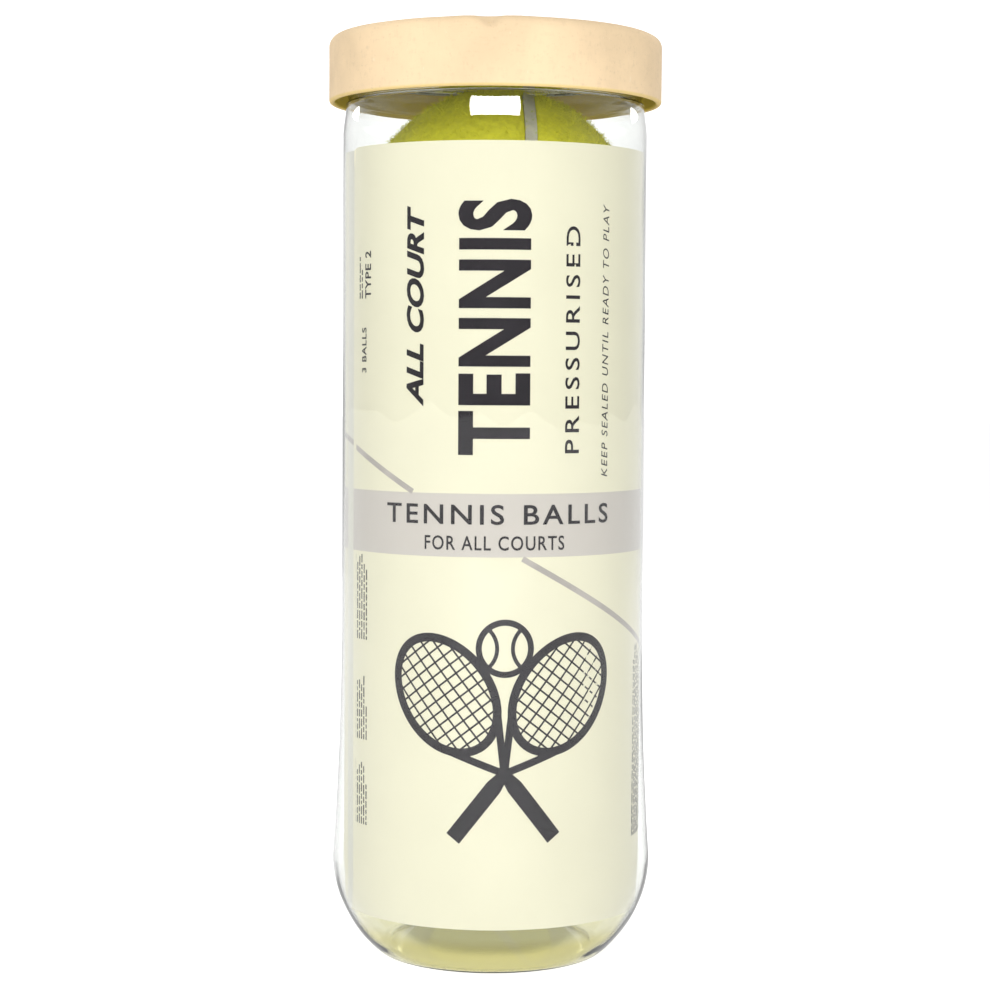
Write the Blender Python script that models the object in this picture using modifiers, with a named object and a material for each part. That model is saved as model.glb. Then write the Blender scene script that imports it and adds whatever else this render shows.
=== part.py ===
"""A clear can of three tennis balls: blown PET body, rolled paper label, ring-pull end and kraft paper lid.

Metres, +Z up. The origin is the centre of the base, on the surface that the can stands on, and the front of
the label faces -Y. Each separate piece is one object in the collection tennis_ball_can.
"""

import math

import bmesh
import bpy
from mathutils import Euler, Matrix, Vector

SEGMENTS = 40  # facets round every turned piece of the can and lid

# Balls
BALL_RADIUS = 0.0330
BALL_COUNT = 3
BALL_GAP = 0.0003
FELT_THICKNESS = 0.0030
CORE_WALL = 0.0033
CORE_GAP = 0.00025  # under the flat facets of the felt
FACET_DIP = 0.988  # how near the felt's flat facets come to the centre, as a share of their radius
CORE_JOIN_GAP = 0.0003
CORE_SEGMENTS = 18
SEAM_WIDTH = 0.0022
SEAM_SINK = 0.0004  # how far the seam's face lies under the felt
SEAM_GAP = 0.0003
SEAM_SHARE = 0.26  # of the radius, which sets how far the two lobes of a felt panel spread
FELT_ROWS = 22
FELT_STRIPS = 6
SEAM_STATIONS = 56
TOP_BALL_LEAN = 0.0010  # the top ball sits to the right of the axis
BOTTOM_BALL_TURN = (25.0, 40.0, 10.0)  # degrees about X, Y and Z
MIDDLE_BALL_TURN = (-35.0, 15.0, 70.0)
TOP_BALL_SEAM = (0.225, -0.72, 0.65)  # where on the top ball a straight stretch of seam shows

# Clear body
LABEL_CLEARANCE = 0.00045  # between the label and the can's wall
CAN_CLEARANCE = 0.0035  # from a ball to the outside of the straight wall
CAN_WALL = 0.0004
BASE_WALL = 0.0009
BULGE_GROWTH = 0.0021  # how much further the lower bulge stands out than the straight wall
BULGE_HEIGHT = 0.0230
BULGE_CURVE = 0.0290  # radius of the curve under the bulge
FLARE_TOP = 0.0950
FLARE_POWER = 2.6
FOOT_FILLET = 0.0020
FOOT_WIDTH = 0.0012
PUNT_RISE = 0.0087
SHOULDER_HEIGHT = 0.0073
SHOULDER_DROP = 0.00065
NECK_DEPTH = 0.0013
NECK_BAND = 0.0011
COLLAR_RISE = 0.0036
COLLAR_STEP = 0.0001  # how far the collar stays inside the straight wall
COLLAR_HEIGHT = 0.0068
FLANGE_REACH = 0.0011
FLANGE_THICKNESS = 0.0006
FLANGE_ROOT_HEIGHT = 0.0007  # of the curve that turns the collar out into the flange
FLANGE_ROOT_WIDTH = 0.00015
FLANGE_ROOT_DROP = 0.00025
MOUTH_HEIGHT = 0.0010  # of the slope round the inside of the mouth
MOUTH_WIDTH = 0.00015

# Ring-pull end
HEADSPACE = 0.00395  # from the top ball to the underside of the panel
METAL = 0.00025
SEAM_GUARD = 0.0006  # how far the double seam stands clear of the flange all round
HOOK_LENGTH = 0.0011
SEAM_CORNER = 0.0004
CHUCK_CLEARANCE = 0.00035
GROOVE_WIDTH = 0.0006
GROOVE_DEPTH = 0.0012
PANEL_RIM = 0.00035
SCORE_GAP = 0.0003
PANEL_DISH = 0.0006
DISH_RADIUS = 0.0140
DISH_STEP = 0.0010  # width of the slope round the dish
PANEL_BORDER = 0.0030
COMPOUND_THICKNESS = 0.0007
PANEL_RECESS = 0.0053  # from the top of the double seam down to the panel

# Tab
TAB_LENGTH = 0.0345
TAB_WIDTH = 0.0220
TAB_THICKNESS = 0.0012
TAB_NOSE_WIDTH = 0.0130
TAB_EDGE = 0.0026  # from the nose to the panel's edge
TAB_CORNER = 0.0022
TAB_TAPER = 15.0  # degrees, where the sides leave the round end
FINGER_HOLE_RADIUS = 0.0075
RIVET_RADIUS = 0.0024
RIVET_COLLAR_RADIUS = 0.0031
RIVET_SETBACK = 0.0060
RIVET_CROWN = 0.0004  # how far the head stands over the tab, and its edge's slope
RIVET_WINDOW_GAP = 0.0003

# Paper label
LABEL_THICKNESS = 0.00025
LABEL_FOOT_CLEARANCE = 0.0003  # from the label's bottom edge to the curved wall that it stands in
LABEL_TOP_GAP = 0.0040  # from the label's top up to the shoulder
LABEL_LAP_ANGLE = math.radians(12.0)
LABEL_EDGE_ANGLE = math.radians(205.0)  # of the sheet's outer edge, to the left of the front
LABEL_STEPS = 44

# Lid
LID_CLEARANCE = 0.0004  # round the double seam
LID_WALL = 0.0015
LID_HEIGHT = 0.0158
LID_DISC = 0.0008
LID_LIP = 0.0012
LID_LIP_REACH = 0.0025
LID_SHOULDER = 0.0025
FIT_GAP = 0.0003  # between pieces that touch

COLLECTION = "tennis_ball_can"

# Places worked out from the sizes above
BALL_PITCH = 2 * BALL_RADIUS + BALL_GAP
PUNT_WALL = CAN_WALL + (BASE_WALL - CAN_WALL) * (1 - PUNT_RISE / BULGE_HEIGHT)
LOWEST_BALL = PUNT_RISE + PUNT_WALL + BALL_GAP + BALL_RADIUS
STACK_TOP = LOWEST_BALL + (BALL_COUNT - 1) * BALL_PITCH + BALL_RADIUS
CAN_RADIUS = BALL_RADIUS + CAN_CLEARANCE
COLLAR_RADIUS = CAN_RADIUS - COLLAR_STEP
PANEL_TOP = STACK_TOP + HEADSPACE + METAL
SEAM_TOP = PANEL_TOP + PANEL_RECESS
FLANGE_TOP = SEAM_TOP - METAL - COMPOUND_THICKNESS - 2 * FIT_GAP
FLANGE_BOTTOM = FLANGE_TOP - FLANGE_THICKNESS
FLANGE_RADIUS = COLLAR_RADIUS + FLANGE_REACH
SEAM_RADIUS = FLANGE_RADIUS + SEAM_GUARD
COLLAR_BOTTOM = FLANGE_BOTTOM - COLLAR_HEIGHT
NECK_TOP = COLLAR_BOTTOM - COLLAR_RISE
SHOULDER_TOP = NECK_TOP - NECK_BAND
SHOULDER_BOTTOM = SHOULDER_TOP - SHOULDER_HEIGHT
NECK_RADIUS = CAN_RADIUS - NECK_DEPTH
BULGE_RADIUS = CAN_RADIUS + BULGE_GROWTH
CHUCK_RADIUS = COLLAR_RADIUS - CAN_WALL - CHUCK_CLEARANCE - METAL
GROOVE_INNER_RADIUS = CHUCK_RADIUS - GROOVE_WIDTH
SCORE_RADIUS = GROOVE_INNER_RADIUS - PANEL_RIM
PANEL_RADIUS = SCORE_RADIUS - SCORE_GAP
LABEL_RADIUS = CAN_RADIUS - CAN_WALL - LABEL_CLEARANCE
LABEL_TOP = SHOULDER_BOTTOM - LABEL_TOP_GAP
FOOT_REACH = LABEL_RADIUS + LABEL_FOOT_CLEARANCE - BULGE_RADIUS + BULGE_CURVE
FOOT_CURVE = BULGE_CURVE - (CAN_WALL + BASE_WALL) / 2  # the inner side of the curve under the bulge
LABEL_BOTTOM = BULGE_HEIGHT - math.sqrt(FOOT_CURVE ** 2 - FOOT_REACH ** 2)
LID_INNER_RADIUS = SEAM_RADIUS + LID_CLEARANCE
LID_RADIUS = LID_INNER_RADIUS + LID_WALL
LID_DISC_BOTTOM = SEAM_TOP + FIT_GAP
LID_TOP = LID_DISC_BOTTOM + LID_DISC + FIT_GAP + LID_LIP
LID_BOTTOM = LID_TOP - LID_HEIGHT
TAB_BOTTOM = PANEL_TOP + FIT_GAP
TAB_NOSE = -(PANEL_RADIUS - TAB_EDGE)


def clear_scene():
    for obj in list(bpy.data.objects):
        bpy.data.objects.remove(obj, do_unlink=True)


def make_collection(name):
    collection = bpy.data.collections.new(name)
    bpy.context.scene.collection.children.link(collection)
    return collection


def make_material(name, colour, roughness, metallic=0.0, alpha=1.0):
    material = bpy.data.materials.new(name)
    material.use_nodes = True
    shader = material.node_tree.nodes["Principled BSDF"]
    shader.inputs["Base Color"].default_value = (*colour, 1.0)
    shader.inputs["Roughness"].default_value = roughness
    shader.inputs["Metallic"].default_value = metallic
    shader.inputs["Alpha"].default_value = alpha
    return material


def add_object(name, data, material, collection, parent=None):
    obj = bpy.data.objects.new(name, data)
    data.materials.append(material)
    collection.objects.link(obj)
    obj.parent = parent
    return obj


def arc(centre, radius, start, end, steps):
    """Points on an arc in the (radius, height) plane, from angle start to angle end in degrees."""
    angles = [math.radians(start + (end - start) * i / steps) for i in range(steps + 1)]
    return [(centre[0] + radius * math.cos(a), centre[1] + radius * math.sin(a)) for a in angles]


def turned(name, outline, material, collection, closed=True, steps=SEGMENTS, parent=None):
    """An outline of (radius, height) points turned about Z. It runs down the piece's outer side."""
    mesh = bpy.data.meshes.new(name)
    last = len(outline) - 1
    edges = [(i, i + 1) for i in range(last)]
    if closed and outline[0][0] > 0 and outline[last][0] > 0:
        edges.append((last, 0))
    mesh.from_pydata([(r, 0, z) for r, z in outline], edges, [])
    obj = add_object(name, mesh, material, collection, parent)
    screw = obj.modifiers.new("turn", "SCREW")
    screw.axis = "Z"
    screw.steps = steps
    screw.render_steps = steps
    screw.use_merge_vertices = True
    screw.merge_threshold = 0.00001
    screw.use_smooth_shade = True
    return obj


def inset_line(line, depth):
    """The line of points that lies depth(height) inside an outer line that runs from top to bottom."""
    inner = []
    for i, (r, z) in enumerate(line):
        before = line[max(i - 1, 0)]
        after = line[min(i + 1, len(line) - 1)]
        along = Vector((after[0] - before[0], after[1] - before[1])).normalized()
        inner.append((r and r + along.y * depth(z), z - along.x * depth(z)))
    return inner


def wall_depth(height):
    """The clear wall's thickness, which grows from the bulge down to the base."""
    share = max(0.0, (BULGE_HEIGHT - height) / BULGE_HEIGHT)
    return CAN_WALL + (BASE_WALL - CAN_WALL) * share


def shoulder_line():
    """Straight wall, shoulder, neck and the rise to the collar, from the top down."""
    line = []
    for s in (0.0, 0.3, 0.7, 1.0):
        widening = (COLLAR_RADIUS - NECK_RADIUS) * (1 + math.cos(math.pi * s)) / 2
        line.append((NECK_RADIUS + widening, COLLAR_BOTTOM - COLLAR_RISE * s))
    for s in (1.0, 0.72, 0.4, 0.0):
        narrowing = SHOULDER_DROP * (1 - math.cos(math.pi * s)) / 2
        line.append((CAN_RADIUS - narrowing, SHOULDER_BOTTOM + SHOULDER_HEIGHT * s))
    return line


def flare_line():
    """The wall growing from its straight part down to the bulge, by a power of the distance."""
    shares = (0.0, 0.3, 0.55, 0.75, 0.9)
    height = FLARE_TOP - BULGE_HEIGHT
    return [(CAN_RADIUS + BULGE_GROWTH * s ** FLARE_POWER, FLARE_TOP - height * s) for s in shares]


def base_line():
    """The curve under the bulge, the foot's outer fillet, its flat ring, its inner fillet and the punt."""
    centre_radius = BULGE_RADIUS - BULGE_CURVE
    reach = BULGE_CURVE - FOOT_FILLET
    drop = BULGE_HEIGHT - FOOT_FILLET
    tangent = math.degrees(math.asin(drop / reach))
    foot_radius = centre_radius + math.sqrt(reach ** 2 - drop ** 2)
    line = arc((centre_radius, BULGE_HEIGHT), BULGE_CURVE, 0, -tangent, 7)
    line += arc((foot_radius, FOOT_FILLET), FOOT_FILLET, -tangent, -90, 2)[1:]
    inner_foot = foot_radius - FOOT_WIDTH
    line += arc((inner_foot, FOOT_FILLET), FOOT_FILLET, -90, -135, 2)
    punt_radius, punt_foot = line[-1]
    shares = (0.86, 0.62, 0.33, 0.0)
    line += [(punt_radius * s, punt_foot + (PUNT_RISE - punt_foot) * (1 - s * s)) for s in shares]
    return line


def make_can_body(collection, parent):
    clear = make_material("clear_pet", (0.93, 0.95, 0.93), 0.04, alpha=0.25)
    flange = [
        (FLANGE_RADIUS, FLANGE_TOP),
        (FLANGE_RADIUS, FLANGE_BOTTOM),
        (COLLAR_RADIUS + FLANGE_ROOT_WIDTH, FLANGE_BOTTOM - FLANGE_ROOT_DROP),
        (COLLAR_RADIUS, FLANGE_BOTTOM - FLANGE_ROOT_HEIGHT),
    ]
    wall = shoulder_line() + flare_line() + base_line()
    inner = inset_line(wall, wall_depth)
    collar_inside = COLLAR_RADIUS - CAN_WALL
    inner_flange = [(collar_inside, FLANGE_TOP - MOUTH_HEIGHT), (collar_inside + MOUTH_WIDTH, FLANGE_TOP)]
    outline = list(reversed(inner)) + inner_flange + flange + wall
    return turned("can_body", outline, clear, collection, parent=parent)


def make_label_sheet(collection, parent):
    """The paper sheet rolled once round, its inner end tucked under its outer edge."""
    paper = make_material("label_paper", (0.95, 0.93, 0.80), 0.55)
    tuck = LABEL_THICKNESS + FIT_GAP
    turn = 2 * math.pi + LABEL_LAP_ANGLE
    line = []
    for i in range(LABEL_STEPS + 1):
        angle = turn * i / LABEL_STEPS
        tucked = min(max((angle - turn + 2 * LABEL_LAP_ANGLE) / LABEL_LAP_ANGLE, 0.0), 1.0)
        radius = LABEL_RADIUS - tuck * tucked
        place = LABEL_EDGE_ANGLE + angle
        line.append((radius * math.cos(place), radius * math.sin(place)))
    points = [(x, y, LABEL_BOTTOM) for x, y in line] + [(x, y, LABEL_TOP) for x, y in line]
    count = len(line)
    faces = [(i, i + 1, count + i + 1, count + i) for i in range(count - 1)]
    mesh = bpy.data.meshes.new("label_sheet")
    mesh.from_pydata(points, [], faces)
    mesh.shade_smooth()
    sheet = add_object("label_sheet", mesh, paper, collection, parent)
    solid = sheet.modifiers.new("thickness", "SOLIDIFY")
    solid.thickness = LABEL_THICKNESS
    solid.offset = -1.0
    return sheet


def metal_shell(name, line, material, collection, parent):
    """Turned sheet metal: the line, run from the middle out, is its face, and the metal lies behind it."""
    obj = turned(name, line, material, collection, closed=False, parent=parent)
    solid = obj.modifiers.new("metal", "SOLIDIFY")
    solid.thickness = METAL
    solid.offset = -1.0
    solid.use_even_offset = True
    return obj


def make_end_ring(collection, parent):
    """The double seam, the wall down to the countersink groove, and the rim round the score."""
    aluminium = make_material("end_aluminium", (0.78, 0.79, 0.80), 0.28, metallic=1.0)
    hook_bottom = FLANGE_BOTTOM - SEAM_GUARD - METAL
    corner = SEAM_CORNER
    line = [
        (SEAM_RADIUS - HOOK_LENGTH, hook_bottom),
        (SEAM_RADIUS - corner, hook_bottom),
        (SEAM_RADIUS, hook_bottom + corner),
        (SEAM_RADIUS, SEAM_TOP - corner),
        (SEAM_RADIUS - corner, SEAM_TOP),
        (CHUCK_RADIUS + 2 * corner, SEAM_TOP),
        (CHUCK_RADIUS + corner / 2, SEAM_TOP - corner),
        (CHUCK_RADIUS, PANEL_TOP - GROOVE_DEPTH / 2),
        (CHUCK_RADIUS - GROOVE_WIDTH / 2, PANEL_TOP - GROOVE_DEPTH),
        (GROOVE_INNER_RADIUS, PANEL_TOP - GROOVE_DEPTH / 2),
        (GROOVE_INNER_RADIUS, PANEL_TOP),
        (SCORE_RADIUS, PANEL_TOP),
    ]
    return metal_shell("end_ring", list(reversed(line)), aluminium, collection, parent)


def make_sealing_compound(collection, parent):
    rubber = make_material("sealing_rubber", (0.55, 0.56, 0.55), 0.8)
    bottom = FLANGE_TOP + FIT_GAP
    top = bottom + COMPOUND_THICKNESS
    outer = FLANGE_RADIUS - FIT_GAP
    inner = COLLAR_RADIUS
    outline = [(inner, bottom), (inner, top), (outer, top), (outer, bottom)]
    return turned("sealing_compound", outline, rubber, collection, parent=parent)


def make_tear_panel(collection, parent):
    """A disc with a stepped stiffening dish, which leaves its rim and the tab's rivet high."""
    aluminium = make_material("panel_aluminium", (0.80, 0.81, 0.82), 0.25, metallic=1.0)
    line = [
        (0.0, PANEL_TOP - PANEL_DISH),
        (DISH_RADIUS, PANEL_TOP - PANEL_DISH),
        (DISH_RADIUS + DISH_STEP, PANEL_TOP),
        (PANEL_RADIUS - PANEL_BORDER, PANEL_TOP),
        (PANEL_RADIUS, PANEL_TOP),
    ]
    return metal_shell("tear_panel", line, aluminium, collection, parent)


def make_tab_rivet(collection, parent):
    """The rivet's head over the collar that clamps the tab, turned about the rivet's own axis."""
    aluminium = make_material("rivet_aluminium", (0.80, 0.81, 0.82), 0.25, metallic=1.0)
    collar_top = TAB_BOTTOM + TAB_THICKNESS / 2
    head_top = TAB_BOTTOM + TAB_THICKNESS + RIVET_CROWN
    outline = [
        (0.0, head_top),
        (RIVET_RADIUS - RIVET_CROWN, head_top),
        (RIVET_RADIUS, head_top - RIVET_CROWN),
        (RIVET_RADIUS, collar_top),
        (RIVET_COLLAR_RADIUS, collar_top),
        (RIVET_COLLAR_RADIUS, TAB_BOTTOM),
        (0.0, TAB_BOTTOM),
    ]
    rivet = turned("tab_rivet", outline, aluminium, collection, steps=16, parent=parent)
    rivet.location.y = TAB_NOSE + RIVET_SETBACK
    return rivet


def closed_spline(curve, points):
    spline = curve.splines.new("POLY")
    spline.points.add(len(points) - 1)
    for point, (x, y) in zip(spline.points, points):
        point.co = (x, y, 0.0, 1.0)
    spline.use_cyclic_u = True


def circle(centre_y, radius, steps):
    angles = [2 * math.pi * i / steps for i in range(steps)]
    return [(radius * math.cos(a), centre_y + radius * math.sin(a)) for a in angles]


def tab_outline():
    """A round finger end that tapers to a rounded nose at the origin, where the tab hinges."""
    end_radius = TAB_WIDTH / 2
    end_centre = TAB_LENGTH - end_radius
    nose_centre = (TAB_NOSE_WIDTH / 2 - TAB_CORNER, TAB_CORNER)
    right_nose = arc(nose_centre, TAB_CORNER, -90, -TAB_TAPER, 3)
    round_end = arc((0.0, end_centre), end_radius, -TAB_TAPER, 180 + TAB_TAPER, 14)
    left_nose = [(-x, y) for x, y in reversed(right_nose)]
    return right_nose + round_end + left_nose


def make_pull_tab(collection, parent):
    """A flat outline with a finger hole and a window for the rivet, hinged at its nose."""
    aluminium = make_material("tab_aluminium", (0.82, 0.83, 0.84), 0.22, metallic=1.0)
    curve = bpy.data.curves.new("pull_tab", "CURVE")
    curve.dimensions = "2D"
    curve.fill_mode = "BOTH"
    curve.extrude = TAB_THICKNESS / 2
    closed_spline(curve, tab_outline())
    closed_spline(curve, circle(TAB_LENGTH - TAB_WIDTH / 2, FINGER_HOLE_RADIUS, 16))
    closed_spline(curve, circle(RIVET_SETBACK, RIVET_COLLAR_RADIUS + RIVET_WINDOW_GAP, 12))
    tab = add_object("pull_tab", curve, aluminium, collection, parent)
    tab.location.z = TAB_THICKNESS / 2
    return tab


def make_lid(collection, parent):
    """A paper band with rolled edges, and the disc held under its top roll."""
    kraft = make_material("kraft_band", (0.82, 0.66, 0.47), 0.8)
    disc_kraft = make_material("kraft_disc", (0.84, 0.69, 0.50), 0.8)
    roll = LID_WALL / 2
    lip_bottom = LID_TOP - LID_LIP
    lip_inner = LID_INNER_RADIUS - LID_LIP_REACH
    outline = [(LID_INNER_RADIUS, lip_bottom), (lip_inner, lip_bottom), (lip_inner, LID_TOP)]
    outline += arc((LID_RADIUS - LID_SHOULDER, LID_TOP - LID_SHOULDER), LID_SHOULDER, 90, 0, 4)
    outline += arc((LID_RADIUS - roll, LID_BOTTOM + roll), roll, 0, -180, 4)
    turned("lid_band", outline, kraft, collection, parent=parent)
    disc_radius = LID_INNER_RADIUS - FIT_GAP
    disc_top = LID_DISC_BOTTOM + LID_DISC
    disc = [(0.0, disc_top), (disc_radius, disc_top), (disc_radius, LID_DISC_BOTTOM), (0.0, LID_DISC_BOTTOM)]
    turned("lid_disc", disc, disc_kraft, collection, parent=parent)


def seam_point(t):
    """A unit vector on the tennis-ball curve, which crosses itself nowhere and halves the sphere.

    In the plane of its two lobe axes it adds a circle and a smaller circle run three times as fast, and its
    height is a sine of twice the angle, sized so that every point has the same radius.
    """
    wide = 1.0 - SEAM_SHARE
    x = wide * math.cos(t) + SEAM_SHARE * math.cos(3 * t)
    y = wide * math.sin(t) - SEAM_SHARE * math.sin(3 * t)
    z = 2 * math.sqrt(wide * SEAM_SHARE) * math.sin(2 * t)
    half = math.sqrt(0.5)
    return Vector(((x - y) * half, (x + y) * half, z))


def seam_side(t):
    """The unit vector across the seam at t, lying in the sphere and pointing into the upper felt panel."""
    step = 0.001
    along = (seam_point(t + step) - seam_point(t - step)).normalized()
    return along.cross(seam_point(t)).normalized() * -1.0


def panel_grid(radius, stations, strips):
    """Points of the upper dog-bone panel, in rows across it from one seam to the other.

    Each row lies on the great circle through a seam point and its mirror image, so the row's turn about Y
    and its half width follow from the seam point set back by half the seam and its gap.
    """
    setback = (SEAM_WIDTH / 2 + SEAM_GAP) / radius
    rows = []
    for i in range(stations + 1):
        t = -math.pi / 4 + math.pi * i / stations
        edge = (seam_point(t) + seam_side(t) * setback).normalized()
        turn = math.atan2(edge.z, edge.x)
        half_width = math.asin(max(-1.0, min(1.0, edge.y)))
        row = []
        for j in range(strips + 1):
            width = half_width * (2 * j / strips - 1)
            level = radius * math.cos(width)
            row.append(Vector((level * math.cos(turn), radius * math.sin(width), level * math.sin(turn))))
        rows.append(row)
    return rows


def make_felt_mesh(name, upper):
    """One dog-bone felt panel, as an outer and an inner skin joined round their edge."""
    mesh = bmesh.new()
    skins = []
    for radius in (BALL_RADIUS, BALL_RADIUS - FELT_THICKNESS):
        rows = []
        for i, points in enumerate(panel_grid(radius, FELT_ROWS, FELT_STRIPS)):
            if i in (0, FELT_ROWS):
                tip = mesh.verts.new(points[FELT_STRIPS // 2])
                rows.append([tip] * (FELT_STRIPS + 1))
            else:
                rows.append([mesh.verts.new(p) for p in points])
        skins.append(rows)
    for rows in skins:
        for low, high in zip(rows, rows[1:]):
            for j in range(FELT_STRIPS):
                corners = list(dict.fromkeys((low[j], low[j + 1], high[j + 1], high[j])))
                mesh.faces.new(corners)
    outer, inner = skins
    for j in (0, FELT_STRIPS):
        for i in range(FELT_ROWS):
            mesh.faces.new((outer[i][j], outer[i + 1][j], inner[i + 1][j], inner[i][j]))
    bmesh.ops.recalc_face_normals(mesh, faces=mesh.faces)
    if not upper:
        # The lower panel is the upper one turned over: X and Y trade places and Z changes sign.
        bmesh.ops.rotate(mesh, verts=mesh.verts, matrix=Matrix(((0, 1, 0), (1, 0, 0), (0, 0, -1))))
    felt = bpy.data.meshes.new(name)
    mesh.to_mesh(felt)
    mesh.free()
    felt.shade_smooth()
    felt.set_sharp_from_angle(angle=math.radians(50))
    return felt


def make_seam_mesh(name):
    """The seam strip: a square section carried round the whole curve."""
    outer = BALL_RADIUS - SEAM_SINK
    inner = BALL_RADIUS - FELT_THICKNESS
    half = SEAM_WIDTH / 2
    points = []
    for i in range(SEAM_STATIONS):
        t = 2 * math.pi * i / SEAM_STATIONS
        place = seam_point(t)
        side = seam_side(t) * half
        points += [place * outer + side, place * outer - side, place * inner - side, place * inner + side]
    faces = []
    for i in range(SEAM_STATIONS):
        here, there = 4 * i, 4 * ((i + 1) % SEAM_STATIONS)
        faces += [(here + k, here + (k + 1) % 4, there + (k + 1) % 4, there + k) for k in range(4)]
    mesh = bpy.data.meshes.new(name)
    mesh.from_pydata(points, [], faces)
    strip = bmesh.new()
    strip.from_mesh(mesh)
    bmesh.ops.recalc_face_normals(strip, faces=strip.faces)
    strip.to_mesh(mesh)
    strip.free()
    return mesh


def core_outline():
    """One half of the rubber core, from its pole down its outer side and back up inside."""
    outer = (BALL_RADIUS - FELT_THICKNESS) * FACET_DIP - CORE_GAP
    inner = outer - CORE_WALL
    rise = CORE_JOIN_GAP / 2
    low_outer = math.degrees(math.asin(rise / outer))
    low_inner = math.degrees(math.asin(rise / inner))
    outline = arc((0.0, 0.0), outer, 90, low_outer, 5)
    outline += arc((0.0, 0.0), inner, low_inner, 90, 5)
    outline[0] = (0.0, outer)
    outline[-1] = (0.0, inner)
    return outline


def make_ball(name, centre, turn, collection):
    """Two core halves, two felt panels and a seam strip, on an empty at the ball's centre."""
    hub = bpy.data.objects.new(name + "_centre", None)
    collection.objects.link(hub)
    hub.matrix_world = Matrix.Translation(centre) @ turn.to_4x4()
    rubber = make_material(name + "_rubber", (0.10, 0.10, 0.10), 0.7)
    felt = make_material(name + "_felt", (0.62, 0.74, 0.08), 0.95)
    glue = make_material(name + "_seam", (0.72, 0.73, 0.68), 0.6)
    for side, flip in (("upper", 0.0), ("lower", math.pi)):
        core_name = name + "_core_" + side
        half = turned(core_name, core_outline(), rubber, collection, steps=CORE_SEGMENTS, parent=hub)
        half.rotation_euler.x = flip
        felt_name = name + "_felt_" + side
        add_object(felt_name, make_felt_mesh(felt_name, side == "upper"), felt, collection, parent=hub)
    add_object(name + "_seam", make_seam_mesh(name + "_seam"), glue, collection, parent=hub)


def turn_that_shows_seam():
    """The top ball's turn, with a straight stretch of seam at its upper front, right of the axis."""
    place = seam_point(0.0)
    heading = Vector((0.0, 0.0, 1.0))
    shown_place = Vector(TOP_BALL_SEAM).normalized()
    shown_side = Vector((1.0, 0.0, 0.0))
    shown_heading = shown_side.cross(shown_place).normalized()
    shown_side = shown_place.cross(shown_heading)
    side = place.cross(heading)
    before = Matrix((place, heading, side)).transposed()
    after = Matrix((shown_place, shown_heading, shown_side)).transposed()
    return after @ before.transposed()


def make_balls(collection):
    turns = []
    for angles in (BOTTOM_BALL_TURN, MIDDLE_BALL_TURN):
        turns.append(Euler([math.radians(angle) for angle in angles]).to_matrix())
    turns.append(turn_that_shows_seam())
    names = ["bottom_ball", "middle_ball", "top_ball"]
    leans = [0.0, 0.0, TOP_BALL_LEAN]
    for i in range(BALL_COUNT):
        centre = Vector((leans[i], 0.0, LOWEST_BALL + i * BALL_PITCH))
        make_ball(names[i], centre, turns[i], collection)


def make_empty(name, location, collection, parent=None):
    empty = bpy.data.objects.new(name, None)
    collection.objects.link(empty)
    empty.parent = parent
    empty.location = location
    return empty


def main():
    clear_scene()
    collection = make_collection(COLLECTION)
    can = make_empty("can_axis", (0, 0, 0), collection)
    make_can_body(collection, can)
    make_label_sheet(collection, can)
    make_end_ring(collection, can)
    make_sealing_compound(collection, can)
    panel = make_empty("panel_axis", (0, 0, 0), collection)
    make_tear_panel(collection, panel)
    make_tab_rivet(collection, panel)
    hinge = make_empty("tab_hinge", (0, TAB_NOSE, TAB_BOTTOM), collection, panel)
    make_pull_tab(collection, hinge)
    lid = make_empty("lid_axis", (0, 0, 0), collection)
    make_lid(collection, lid)
    make_balls(collection)


main()
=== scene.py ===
"""A clear can of three tennis balls in a plain studio: fine surfaces and finishes round the CAD frame.

The file is laid out as an add-on. Each operator makes one piece or one group of like pieces, and main() calls
them in order. Everything is in metres, +Z up the can's axis, with the front of the label facing -Y.
"""

import math

import bmesh
import bpy
import numpy as np
from bpy.props import FloatProperty, FloatVectorProperty, IntProperty, PointerProperty
from mathutils import Euler, Matrix, Vector


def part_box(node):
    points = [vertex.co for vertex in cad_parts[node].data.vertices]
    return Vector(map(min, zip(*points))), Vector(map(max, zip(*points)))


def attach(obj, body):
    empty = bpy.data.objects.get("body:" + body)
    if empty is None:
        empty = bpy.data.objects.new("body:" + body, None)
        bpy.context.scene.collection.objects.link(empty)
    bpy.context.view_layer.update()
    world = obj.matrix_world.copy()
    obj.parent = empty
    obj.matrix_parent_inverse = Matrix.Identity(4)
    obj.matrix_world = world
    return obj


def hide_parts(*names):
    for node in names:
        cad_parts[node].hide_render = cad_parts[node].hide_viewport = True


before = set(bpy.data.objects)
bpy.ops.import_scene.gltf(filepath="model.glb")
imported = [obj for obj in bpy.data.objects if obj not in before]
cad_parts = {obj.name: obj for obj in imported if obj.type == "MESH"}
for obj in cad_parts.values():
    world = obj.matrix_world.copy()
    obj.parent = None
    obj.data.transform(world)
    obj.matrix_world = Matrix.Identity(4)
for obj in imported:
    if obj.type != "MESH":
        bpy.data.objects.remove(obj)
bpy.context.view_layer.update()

bl_info = {
    "name": "Tennis Ball Can",
    "version": (1, 0, 0),
    "blender": (4, 5, 0),
    "location": "3D View > Sidebar > Ball Can",
    "description": "Dresses a clear can of three tennis balls, its paper label, metal end and paper lid",
    "category": "Object",
}


def box_of(*nodes):
    """The lowest and the highest corner of some CAD nodes together."""
    corners = np.array([[list(corner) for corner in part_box(node)] for node in nodes])
    return corners[:, 0].min(axis=0), corners[:, 1].max(axis=0)


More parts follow.
